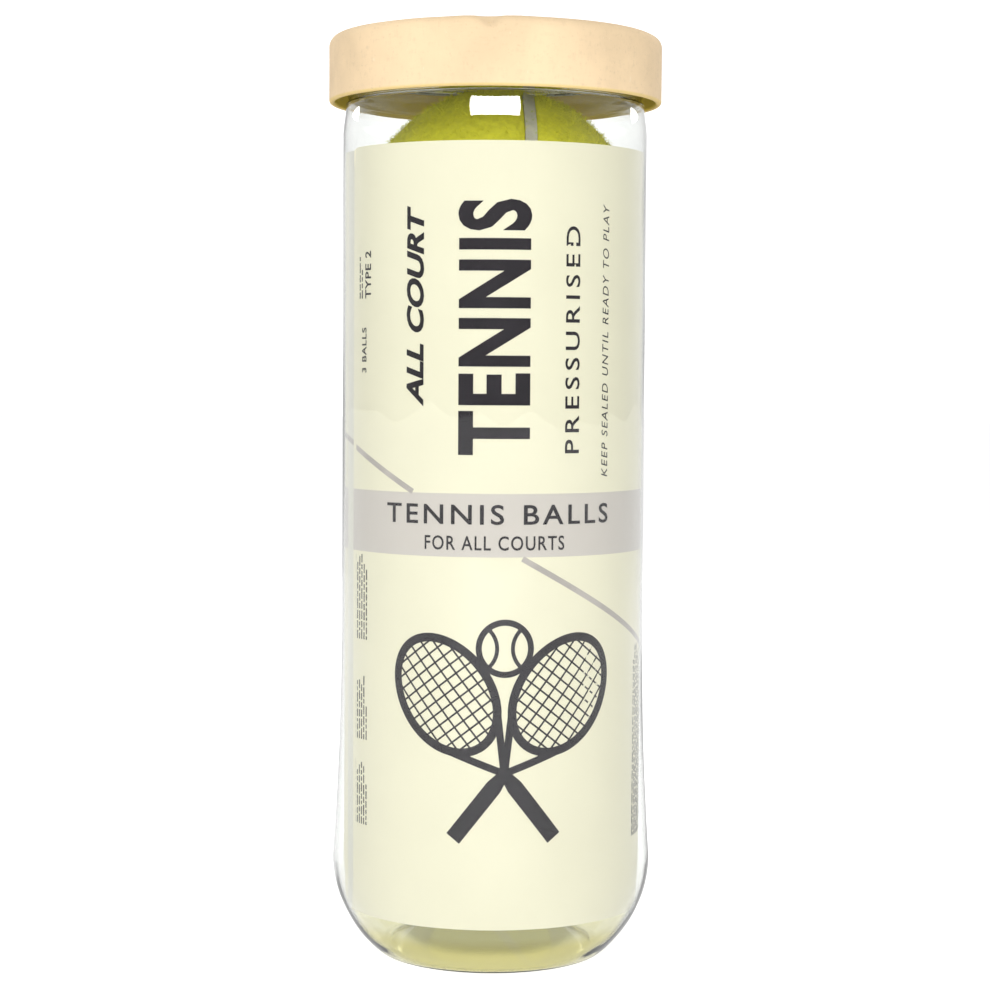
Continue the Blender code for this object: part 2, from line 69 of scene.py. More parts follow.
# Clear body, as the frame has it
BULGE_RADIUS = box_of("can_body")[1][0]
FLANGE_TOP = box_of("can_body")[1][2]
BULGE_GROWTH = 0.0021
BULGE_HEIGHT = 0.0230
BULGE_CURVE = 0.0290
FLARE_TOP = 0.0950
FLARE_POWER = 2.6
CAN_RADIUS = BULGE_RADIUS - BULGE_GROWTH
CAN_WALL = 0.0004
BASE_WALL = 0.0009
FOOT_FILLET = 0.0020
FOOT_WIDTH = 0.0012
PUNT_RISE = 0.0087
GATE_RADIUS = 0.0016
GATE_DROP = 0.0005
FLANGE_THICKNESS = 0.0006
FLANGE_REACH = 0.0011
COLLAR_RADIUS = CAN_RADIUS - 0.0001
COLLAR_BOTTOM = FLANGE_TOP - FLANGE_THICKNESS - 0.0068
COLLAR_RISE = 0.0036
NECK_TOP = COLLAR_BOTTOM - COLLAR_RISE
NECK_RADIUS = CAN_RADIUS - 0.0013
SHOULDER_DROP = 0.00065
SHOULDER_TOP = NECK_TOP - 0.0011
SHOULDER_BOTTOM = SHOULDER_TOP - 0.0073

# Paper label
LABEL_BOTTOM = box_of("label_sheet")[0][2]
LABEL_TOP = box_of("label_sheet")[1][2]
LABEL_RADIUS = CAN_RADIUS - CAN_WALL - 0.00016
LABEL_THICKNESS = 0.00025
LABEL_EDGE = math.radians(205.0)
LABEL_LAP = math.radians(12.0)
LABEL_TUCK = 0.00055
BAND_BOTTOM = 0.0984
BAND_TOP = 0.1129
INK_SINK = 0.000004
INK_THICKNESS = 0.00003
INK_STEP = 0.0015

# Metal end
SEAM_RADIUS, SEAM_TOP = box_of("end_ring")[1][[0, 2]]
SEAM_BOTTOM = box_of("end_ring")[0][2]
PANEL_RADIUS, PANEL_TOP = box_of("tear_panel")[1][[0, 2]]
SCORE_RADIUS = PANEL_RADIUS + 0.0003
GROOVE_INNER = SCORE_RADIUS + 0.00035
CHUCK_RADIUS = GROOVE_INNER + 0.0006
GROOVE_DEPTH = 0.0012
METAL = 0.00025
HOOK_LENGTH = 0.0011
PANEL_DISH = 0.0006
TAB_LOW, TAB_HIGH = box_of("pull_tab")
RIVET_LOW, RIVET_HIGH = box_of("tab_rivet")
RIVET_Y = (RIVET_LOW[1] + RIVET_HIGH[1]) / 2
FINGER_HOLE = 0.0075
RIVET_WINDOW = 0.0034

# Paper lid
LID_LOW, LID_HIGH = box_of("lid_band")
LID_RADIUS = LID_HIGH[0]
LID_WALL = 0.0015
LID_INNER = LID_RADIUS - LID_WALL
LID_SHOULDER = 0.0025
LID_LIP = 0.0012
LID_LIP_REACH = 0.0025
DISC_LOW, DISC_HIGH = box_of("lid_disc")

# Balls
BALLS = ("bottom_ball", "middle_ball", "top_ball")
BALL_RADIUS = 0.0330
FELT_THICKNESS = 0.0030
SEAM_WIDTH = 0.0022
SEAM_GAP = 0.0003
SEAM_SINK = 0.0004
SEAM_SHARE = 0.26
OPENING_LIMIT = 0.0341  # fibres stay inside this distance from the can's axis, so that a ball passes the end

FIBRE_FOOT = 0.000075  # radius of a loose fibre at its foot
FIBRE_MIDDLE = 0.000055  # and at its middle
FELT_ROUND = 0.0013  # width of a felt panel's rounded edge
FELT_FALL = 0.00105  # and its depth
HOLLOW = 0.00012  # depth of the seam's hollow face

# Label print: words, height, length, whether they read upwards, slant, weight, spacing and place
WORDS = (
    ("TENNIS BALLS", 0.0046, 0.0565, False, 0.0, 0.012, 1.25, (0.0016, 0.1081)),
    ("FOR ALL COURTS", 0.0033, 0.0330, False, 0.0, 0.010, 1.15, (0.0005, 0.1016)),
    ("ALL COURT", 0.0046, 0.0457, True, 0.25, 0.035, 1.0, (-0.01875, 0.1555)),
    ("TENNIS", 0.0168, 0.0580, True, 0.0, 0.034, 1.12, (0.0002, 0.1507)),
    ("PRESSURISED", 0.0038, 0.0518, True, 0.0, 0.008, 1.35, (0.01885, 0.1480)),
    ("KEEP SEALED UNTIL READY TO PLAY", 0.0020, 0.0628, True, 0.2, 0.0, 1.2, (0.02855, 0.1479)),
    ("TYPE 2", 0.0024, 0.0110, True, 0.0, 0.02, 1.1, (-0.0340, 0.1630)),
    ("3 BALLS", 0.0020, 0.0105, True, 0.0, 0.015, 1.1, (-0.0356, 0.1455)),
)
# Paragraphs of small print: left edge, bottom, rows, height and seed
PARAGRAPHS = (
    (-0.0395, 0.0776, 6, 0.0188, 31),
    (-0.0395, 0.0539, 6, 0.0133, 32),
    (-0.0395, 0.0337, 6, 0.0143, 33),
    (0.0430, 0.0300, 7, 0.0460, 34),
    (0.0515, 0.0300, 4, 0.0400, 35),
    (-0.0376, 0.1575, 2, 0.0100, 36),
)
LINE_HANDLES = ((-0.0562, 0.1264), (-0.0290, 0.1245), (-0.0080, 0.1030), (0.0515, 0.0745))
EMBLEM_X = 0.0030
RACKET_SPREAD = 0.0118
RACKET_BOTTOM = 0.0335
RACKET_LEAN = 0.66
BALL_SIGN_HEIGHT = 0.0775

# Tints that no setting changes
# Painted reflection: the lowest ball's yellow-green, painted into the thick base's tint, darker in the punt
THICK_BALL_REFLECTION = (0.82, 0.79, 0.54)
PUNT_BALL_REFLECTION = (0.43, 0.41, 0.25)
PAPER_BACK = (0.70, 0.68, 0.60), (0.80, 0.78, 0.70)
# Painted bounce light: the balls' yellow, painted inside the lid and on its lower rolled edge
PAINTED_BALL_BOUNCE = (0.780, 0.570, 0.110)
PALE_FLECK = (0.88, 0.76, 0.60)
COMPOUND = (0.26, 0.27, 0.26), (0.34, 0.35, 0.34)
RUBBER = (0.018, 0.018, 0.019)
BLOOM = (0.075, 0.074, 0.070)
BRIGHT_WOOL = (0.84, 0.82, 0.20)
WOOL_SHEEN = (0.95, 1.0, 0.35)
CAUGHT_WOOL = (0.46, 0.55, 0.06)

# Stage: where the lights stand and how large they are
LIGHT_AIM = (0.0, 0.0, 0.14)
KEY_PLACE, KEY_SIZE = (-0.10, -0.92, 0.84), (0.62, 0.80)
CARD_PLACE, CARD_SIZE = (0.0, -0.86, 0.80), (0.70, 0.74)
FILL_PLACE, FILL_SIZE = (0.0, -1.1, 0.24), (0.8, 0.30)
REAR_X, REAR_Y, REAR_Z = 0.60, 0.70, 0.62
REAR_SIZE = (0.46, 0.50)
FLOOR_HALF = 6.0
FLOOR_DROP = 0.00005
FLOOR_GLOW = 0.82
FLOOR_GIVEN = 0.65  # share of the floor's glow that matt surfaces get
SURROUND = 1.3  # strength of the surround as it is seen
SURROUND_KEPT = 0.74  # share of it that matt surfaces don't get
GLOSS_LEVEL, GLOSS_BEHIND, GLOSS_BEFORE, GLOSS_FALL = 0.30, 0.48, 0.20, 0.25
GLOSSY_PIECES = ("clear_can", "seamed_ring", "ring_pull_panel", "rivet", "ring_tab")

MERGE = 0.000001
FRONT = -math.pi / 2


# --- numbers and surfaces ---------------------------------------------------------------------------------

def smooth(value, low, high):
    """An S-shaped rise from 0 at low to 1 at high: three squares of the share less twice its cube."""
    share = np.clip((value - low) / (high - low), 0.0, 1.0)
    return share * share * (3.0 - 2.0 * share)


def hill(value, centre, width):
    """A bell curve of height 1: e to minus the square of the distance over the width."""
    return np.exp(-((value - centre) / width) ** 2)


def ripples(points, wavelength, seed, waves=14):
    """A smooth random height, about -1 to 1: plane waves of like length in random directions, added."""
    draw = np.random.default_rng(seed)
    direction = draw.normal(size=(waves, 3))
    direction /= np.linalg.norm(direction, axis=1, keepdims=True)
    length = wavelength * draw.uniform(0.7, 1.4, size=(waves, 1))
    phase = draw.uniform(0.0, 2 * math.pi, waves)
    return np.sin(points @ (direction / length).T * 2 * math.pi + phase).sum(axis=-1) / math.sqrt(2 * waves)


def arc(centre, radius, start, end, count):
    """Points on a circle in the plane of radius and height, from angle start to angle end in degrees."""
    angle = np.radians(np.linspace(start, end, count))
    return np.stack([centre[0] + radius * np.cos(angle), centre[1] + radius * np.sin(angle)], axis=-1)


def inset(line, depth):
    """A line set back from another: each point moved square to the line, to its right as it runs."""
    along = np.gradient(line, axis=0)
    along /= np.linalg.norm(along, axis=1, keepdims=True)
    inner = line + np.stack([along[:, 1], -along[:, 0]], axis=-1) * np.broadcast_to(depth, len(line))[:, None]
    inner[:, 0] = np.where(line[:, 0] < MERGE, 0.0, np.maximum(inner[:, 0], 0.0))
    return inner


def grid(points, closed_rows=False, closed_columns=False):
    """A surface of four-sided faces through a grid of points, joined to its start where it is closed."""
    rows, columns = points.shape[:2]
    index = np.arange(rows * columns).reshape(rows, columns)
    if closed_rows:
        index = np.concatenate([index, index[:1]])
    if closed_columns:
        index = np.concatenate([index, index[:, :1]], axis=1)
    faces = np.stack([index[:-1, :-1], index[:-1, 1:], index[1:, 1:], index[1:, :-1]], axis=-1)
    return points.reshape(-1, 3), faces.reshape(-1, 4)


def turned_points(outline, segments):
    """A grid of points: each point of the outline goes round a circle of its own radius about Z."""
    angle = np.linspace(0.0, 2 * math.pi, segments, endpoint=False)[None]
    radius = outline[:, 0, None]
    height = outline[:, 1, None] + 0.0 * angle
    return np.stack([radius * np.cos(angle), radius * np.sin(angle), height], axis=-1)


def carried(path, side, up, section, closed=True):
    """A section carried along a path: each of its points lies its x along side and its y along up."""
    points = path[:, None] + side[:, None] * section[None, :, :1] + up[:, None] * section[None, :, 1:]
    if not closed:
        first = np.repeat(path[:1, None], len(section), axis=1)
        last = np.repeat(path[-1:, None], len(section), axis=1)
        points = np.concatenate([first, points, last])
    return grid(points, closed_rows=closed, closed_columns=True)


def joined(*surfaces):
    """Several surfaces as one list of points and one list of faces."""
    points, faces, count = [], [], 0
    for some_points, some_faces in surfaces:
        points.append(np.asarray(some_points, float))
        if isinstance(some_faces, np.ndarray):
            faces += (some_faces + count).tolist()
        else:
            faces += [[corner + count for corner in face] for face in some_faces]
        count += len(some_points)
    return np.concatenate(points), faces


def add_piece(name, surfaces, material, body, nodes=(), sharp=45.0):
    """One closed object from its surfaces, riding on a body in place of the CAD nodes that it names."""
    points, faces = joined(*surfaces)
    mesh = bpy.data.meshes.new(name)
    mesh.from_pydata(points.tolist(), [], faces)
    shell = bmesh.new()
    shell.from_mesh(mesh)
    bmesh.ops.remove_doubles(shell, verts=shell.verts, dist=MERGE)
    bmesh.ops.recalc_face_normals(shell, faces=shell.faces)
    shell.to_mesh(mesh)
    shell.free()
    mesh.shade_smooth()
    mesh.set_sharp_from_angle(angle=math.radians(sharp))
    mesh.materials.append(material)
    piece = bpy.data.objects.new(name, mesh)
    bpy.context.scene.collection.objects.link(piece)
    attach(piece, body)
    if nodes:
        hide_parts(*nodes)
    return piece


# --- finishes ---------------------------------------------------------------------------------------------

class Value:
    """A node's output that takes part in Python sums. Each sum adds the Math node that works it out."""

    def __init__(self, finish, socket):
        self.finish = finish
        self.socket = socket

    def math(self, operation, *values):
        """The Math node of an operation on the values, as a new value."""
        return self.finish.add("ShaderNodeMath", {"operation": operation}, dict(enumerate(values)))

    def __add__(self, other):
        return self.math("ADD", self, other)

    def __radd__(self, other):
        return self.math("ADD", other, self)

    def __sub__(self, other):
        return self.math("SUBTRACT", self, other)

    def __rsub__(self, other):
        return self.math("SUBTRACT", other, self)

    def __mul__(self, other):
        return self.math("MULTIPLY", self, other)

    def __rmul__(self, other):
        return self.math("MULTIPLY", other, self)

    def __pow__(self, other):
        return self.math("POWER", self, other)

    def largest(self, other):
        return self.math("MAXIMUM", self, other)

    def smallest(self, other):
        return self.math("MINIMUM", self, other)

    def step(self, low, high):
        """An S-shaped rise from 0 at low to 1 at high."""
        places = {"Value": self, "From Min": low, "From Max": high}
        return self.finish.add("ShaderNodeMapRange", {"interpolation_type": "SMOOTHSTEP"}, places)


class Finish:
    """The nodes of one new material, or of a world, with a method that adds any node to them."""

    def __init__(self, name, world=None):
        self.block = world or bpy.data.materials.new(name)
        self.block.use_nodes = True
        self.tree = self.block.node_tree
        self.tree.nodes.clear()
        self.place = self.add("ShaderNodeTexCoord", output="Generated" if world else "Object")

    def add(self, kind, settings=(), inputs=(), output=0):
        """Adds a node: its settings first, then the values or links of its sockets."""
        node = self.tree.nodes.new(kind)
        for name, setting in dict(settings).items():
            setattr(node, name, setting)
        for name, value in dict(inputs).items():
            if isinstance(value, Value):
                self.tree.links.new(value.socket, node.inputs[name])
            else:
                node.inputs[name].default_value = value
        return Value(self, node.outputs[output]) if node.outputs else None

    def parts(self, vector):
        """The three numbers of a vector."""
        node = self.add("ShaderNodeSeparateXYZ", inputs={0: vector}).socket.node
        return [Value(self, socket) for socket in node.outputs]

    def stretched(self, scale, turn=(0.0, 0.0, 0.0)):
        """The place on the piece, turned and scaled unevenly, for a pattern that runs one way."""
        return self.add("ShaderNodeMapping", inputs={"Vector": self.place, "Rotation": turn, "Scale": scale})

    def noise(self, scale, detail=2.0, roughness=0.5, vector=None):
        places = {"Vector": vector or self.place, "Scale": scale, "Detail": detail, "Roughness": roughness}
        return self.add("ShaderNodeTexNoise", inputs=places)

    def mix(self, share, low, high, blend="MIX"):
        settings = {"data_type": "RGBA", "blend_type": blend}
        return self.add("ShaderNodeMix", settings, {0: share, 6: full(low), 7: full(high)}, output=2)

    def from_axis(self):
        """The distance from the can's axis, and the height."""
        x, y, z = self.parts(self.place)
        return (x * x + y * y) ** 0.5, z

    def path(self, output):
        """A number of the light's path, such as how many matt surfaces it has left."""
        return self.add("ShaderNodeLightPath", output=output)

    def bump(self, height, strength, distance):
        sockets = {"Height": height, "Strength": strength, "Distance": distance}
        return self.add("ShaderNodeBump", inputs=sockets)

    def shader(self, **inputs):
        """The material's Principled shader, its sockets named with underscores for spaces."""
        named = {name.replace("_", " "): full(value) for name, value in inputs.items()}
        return self.add("ShaderNodeBsdfPrincipled", inputs=named)

    def done(self, shader):
        self.add("ShaderNodeOutputMaterial", inputs={"Surface": shader})
        return self.block


def full(colour):
    """A colour of three numbers with its alpha added. Anything else is left as it is."""
    if isinstance(colour, Value) or isinstance(colour, (int, float)):
        return colour
    return (*colour, 1.0) if len(colour) == 3 else tuple(colour)


def shade(colour, amount):
    """A colour made darker or brighter by a factor."""
    return tuple(min(1.0, part * amount) for part in colour[:3])


def clear_finish(colour):
    """Blown clear plastic with faint waves and scuffs from the mould, and a painted reflection where it is
    thick.

    The thick part is the base, and the punt in its middle is the deepest. Shadow rays and diffuse rays pass
    straight through, so that matt surfaces in the can are lit as if it weren't there.
    """
    finish = Finish("clear_pet")
    waves = finish.noise(70.0, 1.0, vector=finish.stretched((1.0, 1.0, 0.35)))
    scuffs = finish.noise(900.0, 3.0, 0.6, vector=finish.stretched((1.0, 1.0, 0.06)))
    distance, height = finish.from_axis()
    # Painted reflection: where the base is thick, the lowest ball's yellow-green is painted into the tint,
    # darker in the punt
    thick = 1.0 - (height + distance * 0.12).step(0.0100, 0.0150)
    punt = 1.0 - distance.step(0.0195, 0.0225)
    tint_with_painted_reflection = finish.mix(thick, colour, THICK_BALL_REFLECTION)
    tint_with_painted_reflection = finish.mix(thick * punt, tint_with_painted_reflection, PUNT_BALL_REFLECTION)
    plastic = finish.shader(
        Base_Color=tint_with_painted_reflection, Roughness=0.012 + scuffs.step(0.62, 0.80) * 0.05, IOR=1.57, Transmission_Weight=1.0,
        Normal=finish.bump(waves + scuffs * 0.01, 0.12, 0.0006))
    through = finish.add("ShaderNodeBsdfTransparent", inputs={"Color": full(shade(colour, 0.98))})
    passing = finish.path("Is Shadow Ray").largest(finish.path("Is Diffuse Ray"))
    return finish.done(finish.add("ShaderNodeMixShader", inputs={0: passing, 1: plastic, 2: through}))


def label_finish(settings):
    """Coated paper: a cream face with a grey band round it, fine fibres and a slightly uneven surface."""
    finish = Finish("label_paper")
    distance, height = finish.from_axis()
    fibres = finish.noise(2600.0, 4.0, 0.65, vector=finish.stretched((1.0, 1.0, 0.45)))
    clouds = finish.noise(55.0, 3.0)
    edge = 0.00006
    above = height.step(BAND_BOTTOM - edge, BAND_BOTTOM + edge)
    band = above * (1.0 - height.step(BAND_TOP - edge, BAND_TOP + edge))
    paper = finish.mix(clouds.step(0.35, 0.70), shade(settings.paper_colour, 0.975), settings.paper_colour)
    printed = finish.mix(band, paper, settings.band_colour)
    back = 1.0 - distance.step(LABEL_RADIUS - 0.00022, LABEL_RADIUS - 0.00012)
    bare = finish.mix(fibres.step(0.3, 0.7), *PAPER_BACK)
    faced = finish.mix(back, printed, bare)
    colour = finish.mix(fibres.step(0.40, 0.75) * 0.05, faced, shade(settings.paper_colour, 0.72))
    roughness = 0.46 + fibres * 0.16 + back * 0.2
    normal = finish.bump(fibres + clouds * 0.6, 0.10, 0.00008)
    return finish.done(finish.shader(
        Base_Color=colour, Roughness=roughness, Specular_IOR_Level=0.20, Normal=normal))


def ink_finish(name, colour):
    """Flat printing ink, a little thinner where the paper's fibres stand up."""
    finish = Finish(name)
    grain = finish.noise(2600.0, 4.0, 0.65, vector=finish.stretched((1.0, 1.0, 0.45)))
    clouds = finish.noise(160.0, 2.0)
    thin = clouds.step(0.3, 0.75) * 0.5 + grain.step(0.55, 0.85) * 0.35
    base = finish.mix(thin, colour, shade(colour, 1.5))
    roughness = 0.42 + grain * 0.2
    normal = finish.bump(grain, 0.08, 0.00005)
    return finish.done(finish.shader(
        Base_Color=base, Roughness=roughness, Specular_IOR_Level=0.12, Normal=normal))


def kraft_finish(colour):
    """Paperboard with yellow bounce light from the balls painted inside and on its lower edge: clouds of
    tone, tangled fibres, pale and dark specks, a hairy face.
    """
    finish = Finish("kraft_board")
    clouds = finish.noise(48.0, 4.0, 0.55)
    fibres = finish.noise(1500.0, 5.0, 0.7, vector=finish.stretched((1.0, 1.0, 0.30)))
    cross = finish.noise(1100.0, 4.0, 0.7, vector=finish.stretched((0.35, 0.35, 1.0)))
    specks = finish.noise(1150.0, 1.0, 0.4)
    flecks = finish.noise(1000.0, 2.0, 0.4, vector=finish.stretched((1.0, 1.0, 0.5), (0.3, 0.2, 0.7)))
    distance, height = finish.from_axis()
    # Painted bounce light: the balls' yellow is painted on the lower rolled edge and inside the band under
    # the disc
    edge = (1.0 - height.step(LID_LOW[2] + 0.0003, LID_LOW[2] + 0.0009)) * 0.45
    inside = 1.0 - distance.step(LID_INNER + 0.0001, LID_INNER + 0.0003)
    under = 1.0 - height.step(LID_HIGH[2] - 0.0020, LID_HIGH[2] - 0.0016)
    base = finish.mix(clouds.step(0.30, 0.72), shade(colour, 0.90), shade(colour, 1.05))
    base = finish.mix((inside * under).largest(edge), base, PAINTED_BALL_BOUNCE)
    base = finish.mix((fibres + cross - 1.0).step(0.0, 0.35) * 0.30, base, shade(colour, 0.70))
    base = finish.mix(specks.step(0.70, 0.78) * 0.16, base, shade(colour, 0.52))
    base = finish.mix(flecks.step(0.72, 0.78) * 0.30, base, PALE_FLECK)
    roughness = 0.78 + fibres * 0.18
    normal = finish.bump(fibres * 0.6 + cross * 0.5 + clouds * 1.2, 0.35, 0.00012)
    return finish.done(finish.shader(
        Base_Color=base, Roughness=roughness, Specular_IOR_Level=0.25, Normal=normal))


def metal_finish(name, colour, rings):
    """Sheet aluminium under clear lacquer: rolling lines one way, or fine rings left by the press."""
    finish = Finish(name)
    rolled = finish.noise(900.0, 3.0, 0.6, vector=finish.stretched((0.03, 1.0, 0.5)))
    wave = finish.from_axis()[0] * 9000.0
    spun = wave.math("SINE", wave)
    smears = finish.noise(110.0, 3.0, 0.6)
    scratches = finish.noise(500.0, 2.0, 0.5, vector=finish.stretched((0.08, 1.0, 1.0), (0.0, 0.0, 0.8)))
    base = finish.mix(smears.step(0.3, 0.7), shade(colour, 0.93), colour)
    roughness = 0.20 + rolled * 0.14 + smears.step(0.45, 0.8) * 0.08 + scratches.step(0.68, 0.78) * 0.12
    normal = finish.bump(rolled + spun * rings, 0.06, 0.00004)
    return finish.done(finish.shader(Base_Color=base, Metallic=1.0, Roughness=roughness, Normal=normal))


def compound_finish():
    """Soft grey sealing compound, poured and cured: a dull skin with small pits."""
    finish = Finish("sealing_rubber")
    pits = finish.noise(1900.0, 2.0)
    base = finish.mix(pits.step(0.4, 0.7), *COMPOUND)
    normal = finish.bump(pits, 0.3, 0.0001)
    return finish.done(finish.shader(Base_Color=base, Roughness=0.62 + pits * 0.2, Normal=normal))


def core_finish():
    """Moulded black rubber with a bloom of pale powder and the grain of the mould."""
    finish = Finish("core_rubber")
    bloom = finish.noise(90.0, 4.0, 0.6)
    grain = finish.noise(2400.0, 2.0)
    base = finish.mix(bloom.step(0.45, 0.75) * 0.7, RUBBER, BLOOM)
    normal = finish.bump(grain + bloom * 0.4, 0.25, 0.0001)
    return finish.done(finish.shader(Base_Color=base, Roughness=0.55 + grain * 0.3, Normal=normal))


def felt_finish(colour):
    """Napped felt: tufts of brighter and darker wool a millimetre or two across, and finer fibres."""
    finish = Finish("felt")
    tufts = finish.noise(620.0, 4.0, 0.6)
    fibres = finish.noise(3400.0, 3.0, 0.7)
    patches = finish.noise(95.0, 2.0)
    base = finish.mix(tufts.step(0.28, 0.72), shade(colour, 0.88), shade(colour, 1.06))
    base = finish.mix(fibres.step(0.55, 0.80) * 0.25, base, BRIGHT_WOOL)
    base = finish.mix(patches.step(0.45, 0.75) * 0.25, base, shade(colour, 0.92))
    normal = finish.bump(tufts + fibres * 0.6, 0.5, 0.00025)
    shader = finish.shader(
        Base_Color=base, Roughness=0.88 + fibres * 0.12, Specular_IOR_Level=0.12, Normal=normal,
        Sheen_Weight=0.14, Sheen_Roughness=0.45, Sheen_Tint=WOOL_SHEEN,
    )
    return finish.done(shader)


def seam_finish(colour):
    """Pale seam cement between the felt panels: matt, with bits of wool caught in it."""
    finish = Finish("ball_seam")
    clouds = finish.noise(260.0, 3.0)
    caught = finish.noise(1500.0, 2.0, 0.5, vector=finish.stretched((1.0, 0.5, 1.0), (0.4, 0.9, 0.2)))
    base = finish.mix(clouds.step(0.3, 0.7), shade(colour, 0.82), colour)
    base = finish.mix(caught.step(0.60, 0.74) * 0.65, base, CAUGHT_WOOL)
    normal = finish.bump(clouds + caught, 0.4, 0.0002)
    return finish.done(finish.shader(Base_Color=base, Roughness=0.60 + clouds * 0.3, Normal=normal))


def floor_finish(colour):
    """A pale light table: a white sheet with a trace of grain, lit from below.

    Light that has left a matt surface finds the floor dimmer than the camera does.
    """
    finish = Finish("studio_floor")
    grain = finish.noise(30.0, 3.0)
    base = finish.mix(grain, shade(colour, 0.995), colour)
    glow = finish.mix(finish.path("Diffuse Depth").smallest(1.0), (1.0,) * 3, (FLOOR_GIVEN,) * 3)
    return finish.done(finish.shader(
        Base_Color=base, Roughness=0.90, Specular_IOR_Level=0.0, Emission_Color=glow,
        Emission_Strength=FLOOR_GLOW))


# --- clear can --------------------------------------------------------------------------------------------

def can_outline():
    """The can's outer line from under the flange down to the middle of the punt.

    The rise to the collar, the round of the neck and the long shoulder are half cosine waves. The flare adds
    a power of the distance down from its top. Under the bulge come an arc, two fillets with the flat foot
    between them, and the punt's parabola, with the small nub that the mould's gate leaves in its middle.
    """
    share = np.linspace(0.0, 1.0, 14)
    rise = np.stack([
        NECK_RADIUS + (COLLAR_RADIUS - NECK_RADIUS) * (1 + np.cos(math.pi * share)) / 2,
        COLLAR_BOTTOM - COLLAR_RISE * share,
    ], axis=-1)
    share = np.linspace(0.0, 1.0, 10)[1:-1]
    neck = np.stack([
        NECK_RADIUS + (CAN_RADIUS - SHOULDER_DROP - NECK_RADIUS) * (1 - np.cos(math.pi * share)) / 2,
        NECK_TOP - (NECK_TOP - SHOULDER_TOP) * share,
    ], axis=-1)
    share = np.linspace(1.0, 0.0, 22)
    shoulder = np.stack([
        CAN_RADIUS - SHOULDER_DROP * (1 - np.cos(math.pi * share)) / 2,
        SHOULDER_BOTTOM + (SHOULDER_TOP - SHOULDER_BOTTOM) * share,
    ], axis=-1)
    share = np.linspace(0.0, 1.0, 34)[:-1]
    flare = np.stack([
        CAN_RADIUS + BULGE_GROWTH * share ** FLARE_POWER,
        FLARE_TOP - (FLARE_TOP - BULGE_HEIGHT) * share,
    ], axis=-1)
    centre = BULGE_RADIUS - BULGE_CURVE
    reach = BULGE_CURVE - FOOT_FILLET
    drop = BULGE_HEIGHT - FOOT_FILLET
    tangent = math.degrees(math.asin(drop / reach))
    foot = centre + math.sqrt(reach ** 2 - drop ** 2)
    bulge = arc((centre, BULGE_HEIGHT), BULGE_CURVE, 0, -tangent, 34)
    outer_fillet = arc((foot, FOOT_FILLET), FOOT_FILLET, -tangent, -90, 8)[1:]
    inner_fillet = arc((foot - FOOT_WIDTH, FOOT_FILLET), FOOT_FILLET, -90, -135, 8)
    punt_radius, punt_foot = inner_fillet[-1]
    radius = punt_radius * np.linspace(0.97, 0.0, 34)
    height = punt_foot + (PUNT_RISE - punt_foot) * (1 - (radius / punt_radius) ** 2)
    punt = np.stack([radius, height - GATE_DROP * hill(radius, 0.0, GATE_RADIUS)], axis=-1)
    return np.concatenate([rise, neck, shoulder, flare, bulge, outer_fillet, inner_fillet, punt])


def wall_depth(height):
    """The wall's thickness, which grows from the bulge down to the base."""
    return CAN_WALL + (BASE_WALL - CAN_WALL) * np.clip((BULGE_HEIGHT - height) / BULGE_HEIGHT, 0.0, 1.0)


def clear_can():
    """The can's outer and inner lines, joined over the rolled flange and turned about the axis.

    A slow wave of a few hundredths of a millimetre, stronger near the base, makes the blown wall uneven.
    """
    wall = can_outline()
    inner = inset(wall, wall_depth(wall[:, 1]))[::-1]
    bottom = FLANGE_TOP - FLANGE_THICKNESS
    reach = COLLAR_RADIUS + FLANGE_REACH
    inside = COLLAR_RADIUS - CAN_WALL
    flange = np.concatenate([
        arc((inside + 0.0005, bottom + 0.0001), 0.0005, 180, 90, 6),
        arc((reach - 0.0002, FLANGE_TOP - 0.0002), 0.0002, 90, 0, 4),
        arc((reach - 0.0002, bottom + 0.0002), 0.0002, 0, -90, 4),
        arc((COLLAR_RADIUS + 0.0006, bottom - 0.0006), 0.0006, 90, 180, 6),
    ])
    points = turned_points(np.concatenate([inner, flange, wall]), 208)
    height = points[..., 2]
    wave = 0.00002 + 0.00007 * (1 - smooth(height, 0.004, 0.024))
    wave = wave * smooth(height, 0.0012, 0.004) * (1 - smooth(height, 0.190, 0.200))
    around = points[..., :2] / np.maximum(np.hypot(points[..., 0], points[..., 1]), 0.001)[..., None]
    points[..., :2] += around * (wave * ripples(points, 0.011, 5))[..., None] - around * wave[..., None]
    return grid(points, closed_columns=True)


# --- label ------------------------------------------------------------------------------------------------

def label_radius(angle):
    """The radius of the paper's visible face at an angle about the axis, just inside the lap's step."""
    past = (np.asarray(angle) - LABEL_EDGE + LABEL_LAP) % (2 * math.pi)
    return LABEL_RADIUS - LABEL_TUCK * np.where(past < LABEL_LAP, past / LABEL_LAP, 0.0)


